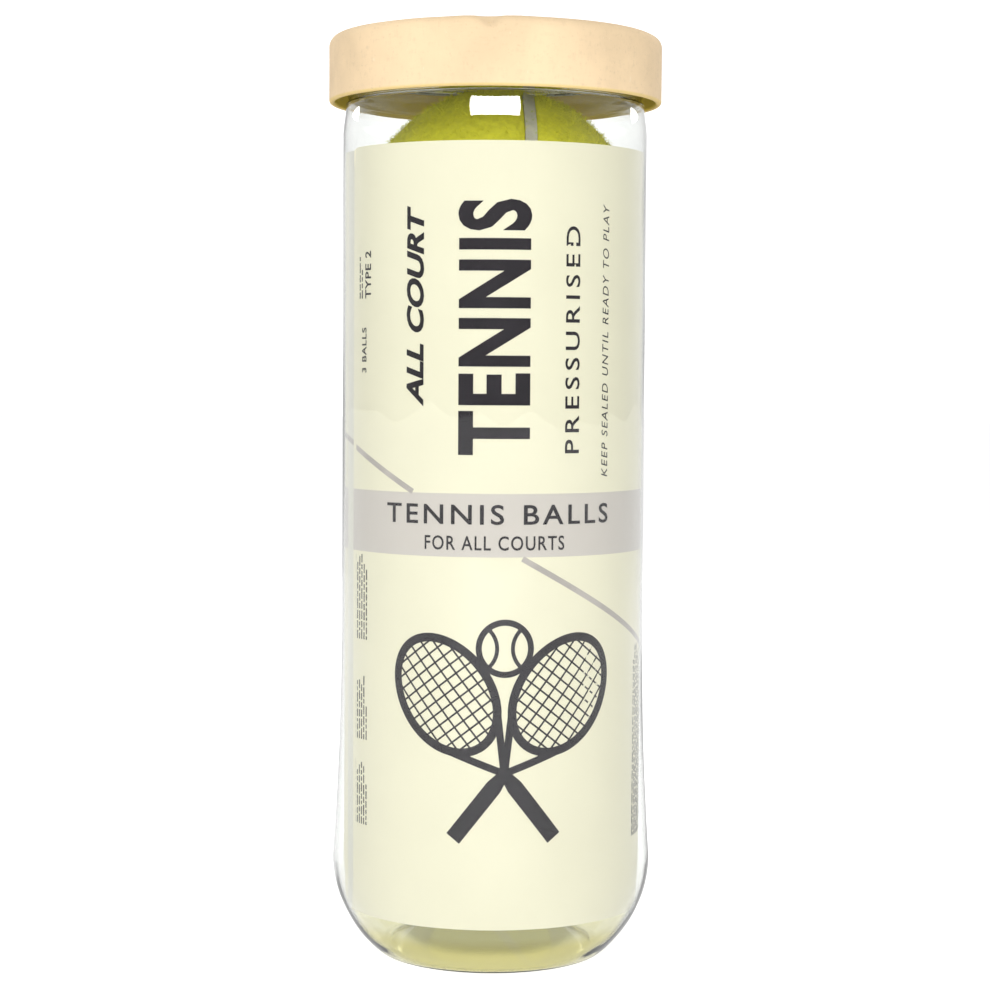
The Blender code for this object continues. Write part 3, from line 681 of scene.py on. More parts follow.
def label_sheet():
    """The sheet rolled once round with its far end tucked under its near edge, as a face and a back.

    The radius is constant, then falls by the tuck where the sheet passes under itself. The near edge lifts
    and curls a little at its top corner, the far part lies half a millimetre lower, and the edges taper.
    """
    turn = 2 * math.pi + LABEL_LAP
    start = turn / 40
    near_edge = start * (1 - np.cos(np.linspace(0, math.pi / 2, 24)[:-1]))
    angle = np.concatenate([near_edge, np.linspace(start, turn, 340)])
    share = (1 - np.cos(np.linspace(0.0, math.pi, 46))) / 2
    tuck = LABEL_TUCK * np.clip((angle - turn + 2 * LABEL_LAP) / LABEL_LAP, 0.0, 1.0)
    lower = 0.0005 * smooth(angle, turn - 1.6, turn - 0.2)
    high = LABEL_TOP - lower
    height = LABEL_BOTTOM + (high[None] - LABEL_BOTTOM) * share[:, None]
    near = hill(angle, 0.0, 0.035)[None]
    corner = near * smooth(height, LABEL_TOP - 0.006, LABEL_TOP)
    height = height - 0.0006 * corner
    face = LABEL_RADIUS - tuck[None] + 0.00012 * near + 0.00016 * corner + 0.0 * height
    taper = np.minimum(smooth(angle, -0.002, 0.006), 1 - smooth(angle, turn - 0.006, turn)) * (angle > 0)
    back = face - LABEL_THICKNESS * taper[None]
    radius = np.concatenate([face, back[::-1]])
    height = np.concatenate([height, height[::-1]])
    place = (LABEL_EDGE + angle)[None]
    points = np.stack([radius * np.cos(place), radius * np.sin(place), height], axis=-1)
    wave = smooth(angle, 0.3, 0.8) * (1 - smooth(angle, turn - 1.0, turn - 0.5))
    swell = 1 + 0.0013 * ripples(points * (1, 1, 0.4), 0.034, 8) * wave[None]
    points[..., :2] *= np.minimum(swell, 1.0008)[..., None]
    return grid(points, closed_rows=True)


def lettering(words, height, length, upwards=False, slant=0.0, weight=0.0, spacing=1.0):
    """Flat letters as a slab one unit thick, centred on the origin, in metres along and up the sheet.

    The words are scaled to the height and the length asked for, turned to read upwards where asked, and cut
    into narrow upright slices, so that they can follow the roll of the paper.
    """
    curve = bpy.data.curves.new("letters", "FONT")
    curve.body = words
    curve.extrude = 0.5
    curve.resolution_u = 4
    curve.shear = slant
    curve.offset = weight
    curve.space_character = spacing
    holder = bpy.data.objects.new("letters", curve)
    bpy.context.scene.collection.objects.link(holder)
    mesh = bpy.data.meshes.new_from_object(holder.evaluated_get(bpy.context.evaluated_depsgraph_get()))
    bpy.data.objects.remove(holder)
    bpy.data.curves.remove(curve)
    points = np.empty(len(mesh.vertices) * 3)
    mesh.vertices.foreach_get("co", points)
    points = points.reshape(-1, 3)
    low, high = points.min(axis=0), points.max(axis=0)
    flat = (points - (low + high) / 2) / (high - low) * (length, height, 1.0)
    if upwards:
        flat = flat[:, [1, 0, 2]] * (-1.0, 1.0, 1.0)
    mesh.vertices.foreach_set("co", flat.ravel())
    slab = bmesh.new()
    slab.from_mesh(mesh)
    bpy.data.meshes.remove(mesh)
    bmesh.ops.remove_doubles(slab, verts=slab.verts, dist=MERGE)
    half = np.abs(flat[:, 0]).max()
    for place in np.arange(-half + INK_STEP, half, INK_STEP):
        everything = slab.verts[:] + slab.edges[:] + slab.faces[:]
        bmesh.ops.bisect_plane(slab, geom=everything, plane_co=(place, 0, 0), plane_no=(1, 0, 0))
    slab.verts.index_update()
    points = np.array([vert.co[:] for vert in slab.verts])
    faces = [[vert.index for vert in face.verts] for face in slab.faces]
    slab.free()
    return points, faces


def stroke(path, half_width, across=4, closed=False):
    """A flat strip one unit thick along a path on the sheet, half_width wide to each side of it."""
    path = np.asarray(path, float)
    if closed:
        along = np.roll(path, -1, axis=0) - np.roll(path, 1, axis=0)
    else:
        along = np.gradient(path, axis=0)
    along /= np.linalg.norm(along, axis=1, keepdims=True)
    side = np.zeros((len(path), 3))
    side[:, 0], side[:, 1] = -along[:, 1], along[:, 0]
    side *= np.broadcast_to(half_width, len(path))[:, None]
    up = np.tile((0.0, 0.0, 1.0), (len(path), 1))
    share = np.linspace(-1.0, 1.0, across + 1)
    over = np.stack([share, share * 0 + 0.5], axis=-1)
    under = np.stack([share[::-1], share * 0 - 0.5], axis=-1)
    flat = np.column_stack([path, np.zeros(len(path))])
    return carried(flat, side, up, np.concatenate([over, under]), closed)


def ellipse(centre, along, across, count=72):
    """A closed line: across times the cosine of an even angle to the side, along times its sine upwards."""
    angle = np.linspace(0.0, 2 * math.pi, count, endpoint=False)
    return np.stack([centre[0] + across * np.cos(angle), centre[1] + along * np.sin(angle)], axis=-1)


def moved(surface, place=(0.0, 0.0), turn=0.0):
    """A flat shape turned on the sheet and moved to its place."""
    points, faces = surface
    cos, sin = math.cos(turn), math.sin(turn)
    x = points[:, 0] * cos - points[:, 1] * sin + place[0]
    y = points[:, 0] * sin + points[:, 1] * cos + place[1]
    return np.column_stack([x, y, points[:, 2]]), faces


def printed(surface):
    """A flat shape rolled onto the paper: its x runs round the face from the front, its y is a height."""
    points, faces = surface
    angle = FRONT + points[:, 0] / LABEL_RADIUS
    radius = label_radius(angle) + INK_SINK + (points[:, 2] + 0.5) * INK_THICKNESS
    return np.column_stack([radius * np.cos(angle), radius * np.sin(angle), points[:, 1]]), faces


def racket(length=0.057):
    """A tennis racket as flat strips, from the grip up: grip, shaft, two throat bars, and a strung hoop."""
    head, along, across = (0.0, length * 0.735), length * 0.255, length * 0.185
    grip_half, shaft_half, hoop_half, throat_half, string_half = 0.0019, 0.0009, 0.0010, 0.00085, 0.00021
    grip, shaft = (0, length * 0.27), (0, length * 0.36)
    shapes = [
        stroke(ellipse(head, along, across), hoop_half, closed=True),
        stroke(np.linspace((0, 0), grip, 16), grip_half),
        stroke(np.linspace(grip, shaft, 8), np.linspace(grip_half, shaft_half, 8)),
    ]
    for side in (-1, 1):
        low, high = (side * 0.0004, length * 0.35), (side * across * 0.74, length * 0.565)
        shapes.append(stroke(np.linspace(low, high, 12), throat_half))
    for x in np.arange(-3, 4) * across / 4:
        reach = along * math.sqrt(1 - (x / across) ** 2)
        shapes.append(stroke(np.linspace((x, head[1] - reach), (x, head[1] + reach), 12), string_half, 1))
    for y in np.arange(-5, 6) * along / 6:
        reach = across * math.sqrt(1 - (y / along) ** 2)
        shapes.append(stroke(np.linspace((-reach, head[1] + y), (reach, head[1] + y), 12), string_half, 1))
    return joined(*shapes)


def ball_sign(radius=0.0060):
    """A tennis ball as a ring with the two bows of its seam."""
    bow = np.radians(np.linspace(-52, 52, 20))
    shapes = [stroke(ellipse((0, 0), radius, radius, 48), 0.0007, closed=True)]
    for side in (-1, 1):
        reach = radius * 0.98
        path = np.stack([side * (reach * np.cos(bow) - radius * 1.28), reach * np.sin(bow)], axis=-1)
        shapes.append(stroke(path, 0.00045, 2))
    return joined(*shapes)


def small_print(left, bottom, rows, height, seed, row_step=0.00105):
    """A paragraph too small to read, turned to read upwards: rows of short bars of random length."""
    half_width, gap = 0.00023, 0.00045
    draw = np.random.default_rng(seed)
    shapes = []
    for row in range(rows):
        x = left + row * row_step
        place = 0.0
        stop = height * (draw.uniform(0.45, 0.8) if row == rows - 1 else draw.uniform(0.90, 1.0))
        while place < stop:
            word = draw.uniform(0.0007, 0.0026)
            bar = np.linspace((x, bottom + place), (x, bottom + place + word), 3)
            shapes.append(stroke(bar, half_width * draw.uniform(0.8, 1.0), 1))
            place += word + gap
    return shapes


def falling_line(width):
    """The thin line that falls across the label: a Bezier curve of four handles, broken at the band."""
    start, first, second, end = np.array(LINE_HANDLES)
    share = np.linspace(0.0, 1.0, 150)[:, None]
    rest = 1 - share
    path = rest ** 3 * start + 3 * rest ** 2 * share * first + 3 * rest * share ** 2 * second
    path += share ** 3 * end
    above = path[path[:, 1] > BAND_TOP]
    below = path[path[:, 1] < BAND_BOTTOM]
    return [stroke(above, width / 2, 2), stroke(below, width / 2, 2)]


# --- metal end --------------------------------------------------------------------------------------------

def sheet_metal(line, segments):
    """A turned sheet: its visible line, run from the middle out, and the same line set back by the metal."""
    points = turned_points(np.concatenate([line, inset(line, METAL)[::-1]]), segments)
    return grid(points, closed_rows=line[0, 0] > MERGE, closed_columns=True)


def ring_line():
    """The end ring's visible line: from the score over the groove and the double seam down to its hook."""
    corner = 0.00055
    half = (CHUCK_RADIUS - GROOVE_INNER) / 2
    groove = arc((CHUCK_RADIUS - half, PANEL_TOP - GROOVE_DEPTH + half), half, 180, 360, 14)
    return np.concatenate([
        [(SCORE_RADIUS, PANEL_TOP - 0.00012), (SCORE_RADIUS + 0.00016, PANEL_TOP)],
        groove,
        [(CHUCK_RADIUS + 0.00008, PANEL_TOP + 0.0022)],
        arc((CHUCK_RADIUS + corner + 0.0002, SEAM_TOP - corner), corner, 180, 90, 9),
        arc((SEAM_RADIUS - corner, SEAM_TOP - corner), corner, 90, 0, 9),
        [(SEAM_RADIUS - 0.00006, (SEAM_TOP + SEAM_BOTTOM) / 2)],
        arc((SEAM_RADIUS - 0.0004, SEAM_BOTTOM + 0.0004), 0.0004, 0, -90, 7),
        [(SEAM_RADIUS - HOOK_LENGTH, SEAM_BOTTOM)],
    ])


def panel_line():
    """The tear panel's line from the middle out: a sunk dish, a step up, a groove, a fine line and a rim."""
    groove, fine_line = PANEL_RADIUS - 0.0022, PANEL_RADIUS - 0.0016
    radius = np.concatenate([
        np.linspace(0.0, 0.0125, 12), np.linspace(0.0130, 0.0162, 14), np.linspace(0.017, PANEL_RADIUS, 60)])
    height = PANEL_TOP - PANEL_DISH * (1 - smooth(radius, 0.0138, 0.0152))
    height = height - 0.00016 * hill(radius, groove, 0.0005) - 0.0001 * (np.abs(radius - fine_line) < 0.0001)
    height = height - 0.00012 * smooth(radius, PANEL_RADIUS - 0.0003, PANEL_RADIUS)
    return np.stack([radius, height], axis=-1)


def tab_path(inset_by):
    """The tab's outline, from the right of its nose round the finger end, evenly spaced."""
    half = (TAB_HIGH[0] - TAB_LOW[0]) / 2
    corner, nose_half = 0.0022, 0.0065
    right = arc((nose_half - corner, TAB_LOW[1] + corner), corner - inset_by, -90, -15, 8)
    finger = arc((0.0, TAB_HIGH[1] - half), half - inset_by, -15, 195, 60)
    corners = np.concatenate([right, finger, right[::-1] * (-1, 1)])
    closed = np.concatenate([corners, corners[:1]])
    step = np.linalg.norm(np.diff(closed, axis=0), axis=1)
    run = np.concatenate([[0.0], np.cumsum(step)])
    even = np.linspace(0.0, run[-1], 160, endpoint=False)
    return np.stack([np.interp(even, run, closed[:, 0]), np.interp(even, run, closed[:, 1])], axis=-1)


def curl(path, radius, height, squash, flow=16):
    """A rolled edge: a flattened circle carried along a closed path in a level plane."""
    along = np.roll(path, -1, axis=0) - np.roll(path, 1, axis=0)
    along /= np.linalg.norm(along, axis=1, keepdims=True)
    side = np.column_stack([along[:, 1], -along[:, 0], np.zeros(len(path))])
    up = np.tile((0.0, 0.0, 1.0), (len(path), 1))
    angle = np.linspace(0.0, 2 * math.pi, flow, endpoint=False)
    section = np.stack([radius * np.cos(angle), radius * squash * np.sin(angle)], axis=-1)
    centre = np.column_stack([path, np.full(len(path), height)])
    return carried(centre, side, up, section)


def ring_path(centre, radius, count=64):
    """A circle as a closed line."""
    return ellipse(centre, radius, radius, count)


def web_between(outer, inner, low, high, rows=8):
    """A level plate between two closed outlines of as many points: straight lines from one to the other."""
    share = np.linspace(0.0, 1.0, rows)[:, None, None]
    flat = outer[None] * (1 - share) + inner[None] * share
    top = np.concatenate([flat, np.full(flat.shape[:2] + (1,), high)], axis=-1)
    bottom = np.concatenate([flat, np.full(flat.shape[:2] + (1,), low)], axis=-1)
    return grid(np.concatenate([top, bottom[::-1]]), closed_rows=True, closed_columns=True)


def rays_to(outline, centre, count=160):
    """The outline's points met by evenly spaced rays from a centre, found from each point's angle."""
    angle = np.unwrap(np.arctan2(outline[:, 1] - centre[1], outline[:, 0] - centre[0]))
    distance = np.hypot(outline[:, 0] - centre[0], outline[:, 1] - centre[1])
    even = np.linspace(0.0, 2 * math.pi, count, endpoint=False)
    order = np.argsort(angle % (2 * math.pi))
    found = np.interp(even, (angle % (2 * math.pi))[order], distance[order], period=2 * math.pi)
    return np.stack([centre[0] + found * np.cos(even), centre[1] + found * np.sin(even)], axis=-1)


def pull_tab():
    """The ring-pull tab: a curled rim, a thinner web with two holes, and the holes' own rims.

    The web is two plates that share a straight line across the tab. Each runs from its half of the outline in
    to its own hole, the finger hole or the window round the rivet.
    """
    rim = (TAB_HIGH[2] - TAB_LOW[2]) / 2
    middle = (TAB_LOW[2] + TAB_HIGH[2]) / 2
    web = 0.0002
    hole = (0.0, TAB_HIGH[1] - (TAB_HIGH[0] - TAB_LOW[0]) / 2)
    window = (0.0, RIVET_Y)
    divide = RIVET_Y + RIVET_WINDOW + 0.0016
    outline = tab_path(rim)
    finger = outline.copy()
    finger[:, 1] = np.maximum(finger[:, 1], divide)
    nose = outline.copy()
    nose[:, 1] = np.minimum(nose[:, 1], divide + 0.0001)
    finger_rim = ring_path(hole, FINGER_HOLE + 0.0004, 160)
    return [
        web_between(rays_to(finger, hole), finger_rim, middle - web, middle + web),
        web_between(rays_to(nose, window), ring_path(window, RIVET_WINDOW, 160), middle - web, middle + web),
        curl(outline, rim, middle, 1.0),
        curl(ring_path(hole, FINGER_HOLE + 0.0006), 0.0006, middle, 0.9),
        curl(ring_path(window, RIVET_WINDOW + 0.0003, 48), 0.00025, middle, 1.0, 10),
    ]


def rivet_line():
    """The rivet from its crown out: a shallow dome over a round edge, a waist, and the clamping collar."""
    top, low = RIVET_HIGH[2], RIVET_LOW[2]
    head = (RIVET_HIGH[0] - RIVET_LOW[0]) / 2 - 0.0007
    collar = head + 0.0007
    shelf = low + 0.0006
    radius = np.linspace(0.0, head - 0.0005, 12)
    crown = np.stack([radius, top - 0.00025 * (1 - hill(radius, 0.0, 0.0011))], axis=-1)
    edge = arc((head - 0.0004, top - 0.00065), 0.0004, 80, 0, 8)
    shelf_edge = arc((collar - 0.0002, shelf - 0.0002), 0.0002, 90, 0, 5)
    return np.concatenate([crown, edge, [(head, shelf)], shelf_edge, [(collar, low), (0.0, low)]])


# --- lid --------------------------------------------------------------------------------------------------

def lid_band():
    """The paper band: lip, rounded shoulder, straight side and rolled lower edge, turned about the axis.

    The shoulder is pushed in at the front, where a crease runs between two soft swellings, and the whole band
    is a few hundredths of a millimetre out of round.
    """
    low, high = LID_LOW[2], LID_HIGH[2]
    roll = LID_WALL / 2
    lip = LID_INNER - LID_LIP_REACH
    outline = np.concatenate([
        np.linspace((LID_INNER, low + roll), (LID_INNER, high - LID_LIP - 0.0004), 14),
        arc((LID_INNER - 0.0004, high - LID_LIP - 0.0004), 0.0004, 0, 90, 5),
        np.linspace((LID_INNER - 0.0009, high - LID_LIP), (lip + 0.0005, high - LID_LIP), 4),
        arc((lip + LID_LIP / 2, high - LID_LIP / 2), LID_LIP / 2, 270, 90, 12),
        np.linspace((lip + 0.0009, high), (LID_RADIUS - LID_SHOULDER - 0.0002, high), 5),
        arc((LID_RADIUS - LID_SHOULDER, high - LID_SHOULDER), LID_SHOULDER, 90, 0, 18),
        np.linspace((LID_RADIUS, high - LID_SHOULDER - 0.0004), (LID_RADIUS, low + roll + 0.0004), 22),
        arc((LID_RADIUS - roll, low + roll), roll, 0, -180, 16)[:-1],
    ])
    points = turned_points(outline, 300)
    angle = np.arctan2(points[..., 0], -points[..., 1])
    height = points[..., 2]
    outer = smooth(np.hypot(points[..., 0], points[..., 1]), LID_INNER - 0.0020, LID_RADIUS - 0.0008)
    top = smooth(height, high - 0.0042, high - 0.0004)
    crease = 1.25 * hill(angle, -0.035, 0.050)
    crease = crease - 0.25 * hill(angle, -0.19, 0.09) - 0.20 * hill(angle, 0.13, 0.08)
    drop = 0.00085 * crease * outer * top
    wobble = 0.00007 * ripples(points, 0.030, 11)
    radius = np.hypot(points[..., 0], points[..., 1])
    scale = 1 + (wobble - 0.00007 - 0.6 * np.maximum(drop, 0)) / radius
    points[..., :2] *= scale[..., None]
    points[..., 2] = np.minimum(height - drop + 0.00006 * ripples(points, 0.016, 12) * top, high)
    return grid(points, closed_rows=True, closed_columns=True)


def lid_disc():
    """The lid's board: a flat disc that sags a little in the middle, with rounded edges."""
    low, high = DISC_LOW[2], DISC_HIGH[2]
    edge = (high - low) / 2
    radius = DISC_HIGH[0]
    outline = np.concatenate([
        np.linspace((0.0, high), (radius - edge, high), 26),
        arc((radius - edge, low + edge), edge, 90, -90, 9)[1:-1],
        np.linspace((radius - edge, low), (0.0, low), 26),
    ])
    points = turned_points(outline, 160)
    distance = np.hypot(points[..., 0], points[..., 1]) / radius
    shaken = 0.00008 * (ripples(points * (1, 1, 0), 0.022, 21) - 1)
    points[..., 2] += (shaken * (1 - distance ** 2)) * (1 - smooth(distance, 0.8, 1.0))
    return grid(points, closed_columns=True)


# --- balls ------------------------------------------------------------------------------------------------

def seam_points(t):
    """Unit vectors on the tennis-ball curve.

    In the plane of its two lobe axes it adds a circle and a smaller circle run three times as fast, and its
    height is a sine of twice the angle, sized so that every point has the same radius.
    """
    wide = 1.0 - SEAM_SHARE
    x = wide * np.cos(t) + SEAM_SHARE * np.cos(3 * t)
    y = wide * np.sin(t) - SEAM_SHARE * np.sin(3 * t)
    z = 2 * math.sqrt(wide * SEAM_SHARE) * np.sin(2 * t)
    half = math.sqrt(0.5)
    return np.stack([(x - y) * half, (x + y) * half, z], axis=-1)


def seam_sides(t):
    """Unit vectors across the seam, lying in the sphere and pointing into the upper panel."""
    along = seam_points(t + 0.001) - seam_points(t - 0.001)
    side = -np.cross(along, seam_points(t))
    return side / np.linalg.norm(side, axis=-1, keepdims=True)


def felt_panel(upper, seed):
    """One dog-bone panel of felt: rows across it from seam to seam, over its face and back under it.

    Each row lies on the great circle through a seam point and its mirror image. The face rounds down to the
    seam on a quarter circle and carries the wool's unevenness. The lower panel is the upper one turned over.
    """
    stations, strips = 132, 44
    t = -math.pi / 4 + math.pi * (1 - np.cos(np.linspace(0.0, math.pi, stations))) / 2
    edge = seam_points(t) + seam_sides(t) * (SEAM_WIDTH / 2 + SEAM_GAP) / BALL_RADIUS
    edge /= np.linalg.norm(edge, axis=-1, keepdims=True)
    turn = np.arctan2(edge[:, 2], edge[:, 0])[:, None]
    half = np.arcsin(edge[:, 1])[:, None]
    share = np.sin(np.linspace(-math.pi / 2, math.pi / 2, strips))[None]
    width = half * share
    width[[0, -1]] = 0.0
    unit = np.stack([np.cos(width) * np.cos(turn), np.sin(width), np.cos(width) * np.sin(turn)], axis=-1)
    to_edge = np.minimum(np.abs(half) * (1 - np.abs(share)) * BALL_RADIUS, FELT_ROUND) / FELT_ROUND
    fall = FELT_FALL * (1 - np.sqrt(1 - (1 - to_edge) ** 2))
    nap = 0.00010 * ripples(unit, 0.11, seed) + 0.00006 * ripples(unit, 0.045, seed + 1)
    face = unit * (BALL_RADIUS - 0.00006 - fall + nap * (0.3 + 0.7 * to_edge))[..., None]
    back = unit * (BALL_RADIUS - FELT_THICKNESS + 0.0001)
    points = np.concatenate([face, back[:, ::-1]], axis=1)
    if not upper:
        points = points[..., [1, 0, 2]] * (1, 1, -1)
        face = face[..., [1, 0, 2]] * (1, 1, -1)
    return grid(points, closed_columns=True), face


def fibres_on(face, count, reach, seed):
    """Loose wool standing on a felt panel: bent three-sided spikes at random places, spread evenly by area.

    A spike starts just under the face, leans between the outward direction and a random one along the felt,
    and leans further past its middle. It is three points wide at its foot and its middle, and ends in one.
    """
    draw = np.random.default_rng(seed)
    corner, right, down = face[:-1, :-1], face[:-1, 1:], face[1:, :-1]
    area = np.linalg.norm(np.cross(right - corner, down - corner), axis=-1).ravel()
    cell = draw.choice(area.size, size=count, p=area / area.sum())
    u, v = draw.uniform(size=(2, count, 1))
    corner, right, down = corner.reshape(-1, 3)[cell], right.reshape(-1, 3)[cell], down.reshape(-1, 3)[cell]
    root = corner + (right - corner) * u + (down - corner) * v
    out = root / np.linalg.norm(root, axis=1, keepdims=True)
    flat = np.cross(out, draw.normal(size=(count, 3)))
    flat /= np.linalg.norm(flat, axis=1, keepdims=True)
    lean = draw.uniform(0.35, 1.25, size=(count, 1))
    first = out * np.cos(lean) + flat * np.sin(lean)
    turn = np.cross(out, flat) * draw.uniform(-0.8, 0.8, size=(count, 1))
    second = first * 0.55 + flat * 0.75 + turn
    second /= np.linalg.norm(second, axis=1, keepdims=True)
    length = reach * draw.uniform(0.45, 1.0, size=(count, 1))
    foot = root - out * 0.0001
    middle = foot + first * length * 0.55
    tip = middle + second * length * 0.45
    side = np.cross(first, out + 0.01)
    side /= np.linalg.norm(side, axis=1, keepdims=True)
    other = np.cross(first, side)
    angle = np.arange(3) * 2 * math.pi / 3
    ring = side[:, None] * np.cos(angle)[None, :, None] + other[:, None] * np.sin(angle)[None, :, None]
    points = np.concatenate([
        foot[:, None] + ring * FIBRE_FOOT, middle[:, None] + ring * FIBRE_MIDDLE, tip[:, None]], axis=1)
    pattern = np.array([
        (2, 1, 0), (0, 1, 4), (0, 4, 3), (1, 2, 5), (1, 5, 4),
        (2, 0, 3), (2, 3, 5), (3, 4, 6), (4, 5, 6), (5, 3, 6)])
    faces = pattern[None] + 7 * np.arange(count)[:, None, None]
    return points.reshape(-1, 3), faces.reshape(-1, 3)


def seam_strip():
    """The seam: a strip with a hollow face, carried round the whole curve."""
    t = np.linspace(0.0, 2 * math.pi, 420, endpoint=False)
    share = np.linspace(-1.0, 1.0, 11)
    half = SEAM_WIDTH / 2 + SEAM_GAP * 0.96
    face = BALL_RADIUS - SEAM_SINK - HOLLOW + HOLLOW * share ** 2
    over = np.stack([share * half, face], axis=-1)
    low = BALL_RADIUS - FELT_THICKNESS + 0.0001
    under = np.stack([share[[-1, 0]] * half * 0.9, np.full(2, low)], axis=-1)
    section = np.concatenate([over, under])
    return carried(np.zeros((len(t), 3)), seam_sides(t), seam_points(t), section)


def seam_shown():
    """The top ball's turn, which brings a straight stretch of seam to its upper front, just to the right."""
    place = Vector(seam_points(0.0))
    heading = Vector((0.0, 0.0, 1.0))
    shown_place = Vector((0.225, -0.72, 0.65)).normalized()
    shown_heading = Vector((1.0, 0.0, 0.0)).cross(shown_place).normalized()
    before = Matrix((place, heading, place.cross(heading))).transposed()
    after = Matrix((shown_place, shown_heading, shown_place.cross(shown_heading))).transposed()
    return after @ before.transposed()


def ball_turns():
    """How each ball lies in the can, from the bottom up."""
    bottom = Euler((math.radians(25), math.radians(40), math.radians(10))).to_matrix()
    middle = Euler((math.radians(-35), math.radians(15), math.radians(70))).to_matrix()
    return [np.array(turn) for turn in (bottom, middle, seam_shown())]


def kept_in(points):
    """Points pulled in towards the can's axis where they stand outside the opening's limit."""
    distance = np.maximum(np.hypot(points[:, 0], points[:, 1]), MERGE)
    points[:, :2] *= np.minimum(1.0, OPENING_LIMIT / distance)[:, None]
    return points


# --- settings ---------------------------------------------------------------------------------------------

def colour_setting(name, description, default):
    return FloatVectorProperty(
        name=name, description=description, subtype="COLOR", min=0, max=1, default=default)


def length_setting(name, description, default, low, high):
    return FloatProperty(
        name=name, description=description, subtype="DISTANCE", unit="LENGTH", default=default,
        min=low, max=high)


def power_setting(name, description, default, high=100):
    return FloatProperty(
        name=name, description=description, subtype="POWER", unit="POWER", default=default, min=0, max=high)


def angle_setting(name, description, degrees):
    return FloatProperty(
        name=name, description=description, subtype="ANGLE", unit="ROTATION", default=math.radians(degrees))


class CanSettings(bpy.types.PropertyGroup):
    """Colours of the can, its label and its metal end."""

    clear_colour: colour_setting("Clear plastic", "Tint of the clear wall", (0.975, 0.985, 0.972))
    paper_colour: colour_setting("Paper", "Cream face of the label", (0.860, 0.815, 0.635))
    band_colour: colour_setting("Band", "Grey band round the label", (0.62, 0.570, 0.535))
    ink_colour: colour_setting("Ink", "Dark printing ink", (0.018, 0.015, 0.019))
    line_colour: colour_setting("Line", "Thin line that falls across the label", (0.43, 0.39, 0.37))
    line_width: length_setting("Line width", "Width of the line across the label", 0.0013, 0.0002, 0.005)
    metal_colour: colour_setting("Aluminium", "Sheet metal of the end and the tab", (0.76, 0.77, 0.78))


class BallSettings(bpy.types.PropertyGroup):
    """Colours and wool of the balls."""

    felt_colour: colour_setting("Felt", "Optic yellow of the wool", (0.82, 0.79, 0.055))
    seam_colour: colour_setting("Seam", "Pale seam cement", (0.72, 0.70, 0.58))
    fibre_count: IntProperty(
        name="Fibres", description="Loose fibres on one felt panel", default=6200, min=0, max=16000)
    fibre_length: length_setting("Fibre length", "Length of the longest loose fibre", 0.0021, 0.0002, 0.004)


class LidSettings(bpy.types.PropertyGroup):
    """Colour of the paper lid."""

    kraft_colour: colour_setting("Kraft board", "Brown paperboard", (0.790, 0.605, 0.385))


class StageSettings(bpy.types.PropertyGroup):
    """Studio light and camera."""

    key_power: power_setting("Key light", "Power of the soft light over the camera", 7.4)
    gloss_power: power_setting(
        "Gloss card", "Power of the card that only the clear can and the metal take light from", 40.0, 200)
    fill_power: power_setting("Front fill", "Power of the low light in front", 3.8)
    side_power: power_setting("Rear lights", "Power of each light behind the can", 4.0)
    camera_distance: length_setting("Camera distance", "From the camera to the can's axis", 0.560, 0.1, 5.0)
    camera_height: length_setting("Camera height", "Height of the camera over the floor", 0.1415, 0.0, 3.0)
    camera_pitch: angle_setting("Camera pitch", "How far the camera looks down", 3.15)
    camera_roll: angle_setting("Camera roll", "How far the camera leans to its left", 0.35)
    lens: FloatProperty(
        name="Lens", description="Focal length", subtype="DISTANCE_CAMERA", unit="CAMERA",
        default=83.9, min=10)
    floor_colour: colour_setting("Floor", "Pale studio floor", (0.50, 0.50, 0.50))


# --- operators --------------------------------------------------------------------------------------------

class DressClearCan(bpy.types.Operator):
    """Makes the clear blown can over its plain CAD form"""

    bl_idname = "ball_can.clear_can"
    bl_label = "Clear can"

    def execute(self, context):
        scene = context.scene
        material = clear_finish(scene.can_settings.clear_colour)
        add_piece("clear_can", [clear_can()], material, "can", ["can_body"], 60.0)
        return {"FINISHED"}


class DressLabel(bpy.types.Operator):
    """Makes the rolled paper label"""

    bl_idname = "ball_can.label"
    bl_label = "Paper label"

    def execute(self, context):
        scene = context.scene
        material = label_finish(scene.can_settings)
        add_piece("label_tube", [label_sheet()], material, "can", ["label_sheet"])
        return {"FINISHED"}


class DressPrint(bpy.types.Operator):
    """Prints the label: generic words, crossed rackets, paragraphs of small print and a thin falling line"""

    bl_idname = "ball_can.print"
    bl_label = "Label print"

    def execute(self, context):
        scene = context.scene
        ink = ink_finish("dark_ink", scene.can_settings.ink_colour)
        pale = ink_finish("pale_ink", scene.can_settings.line_colour)
        rackets = [
            moved(racket(), (EMBLEM_X + side * RACKET_SPREAD, RACKET_BOTTOM), side * RACKET_LEAN)
            for side in (-1, 1)]
        groups = {
            "label_lettering": (ink, [moved(lettering(*word), place) for *word, place in WORDS]),
            "label_emblem": (ink, rackets + [moved(ball_sign(), (EMBLEM_X, BALL_SIGN_HEIGHT))]),
            "label_small_print": (ink, [row for paragraph in PARAGRAPHS for row in small_print(*paragraph)]),
            "label_line": (pale, falling_line(scene.can_settings.line_width)),
        }
        for name, (finish, shapes) in groups.items():
            add_piece(name, [printed(shape) for shape in shapes], finish, "can")
        return {"FINISHED"}


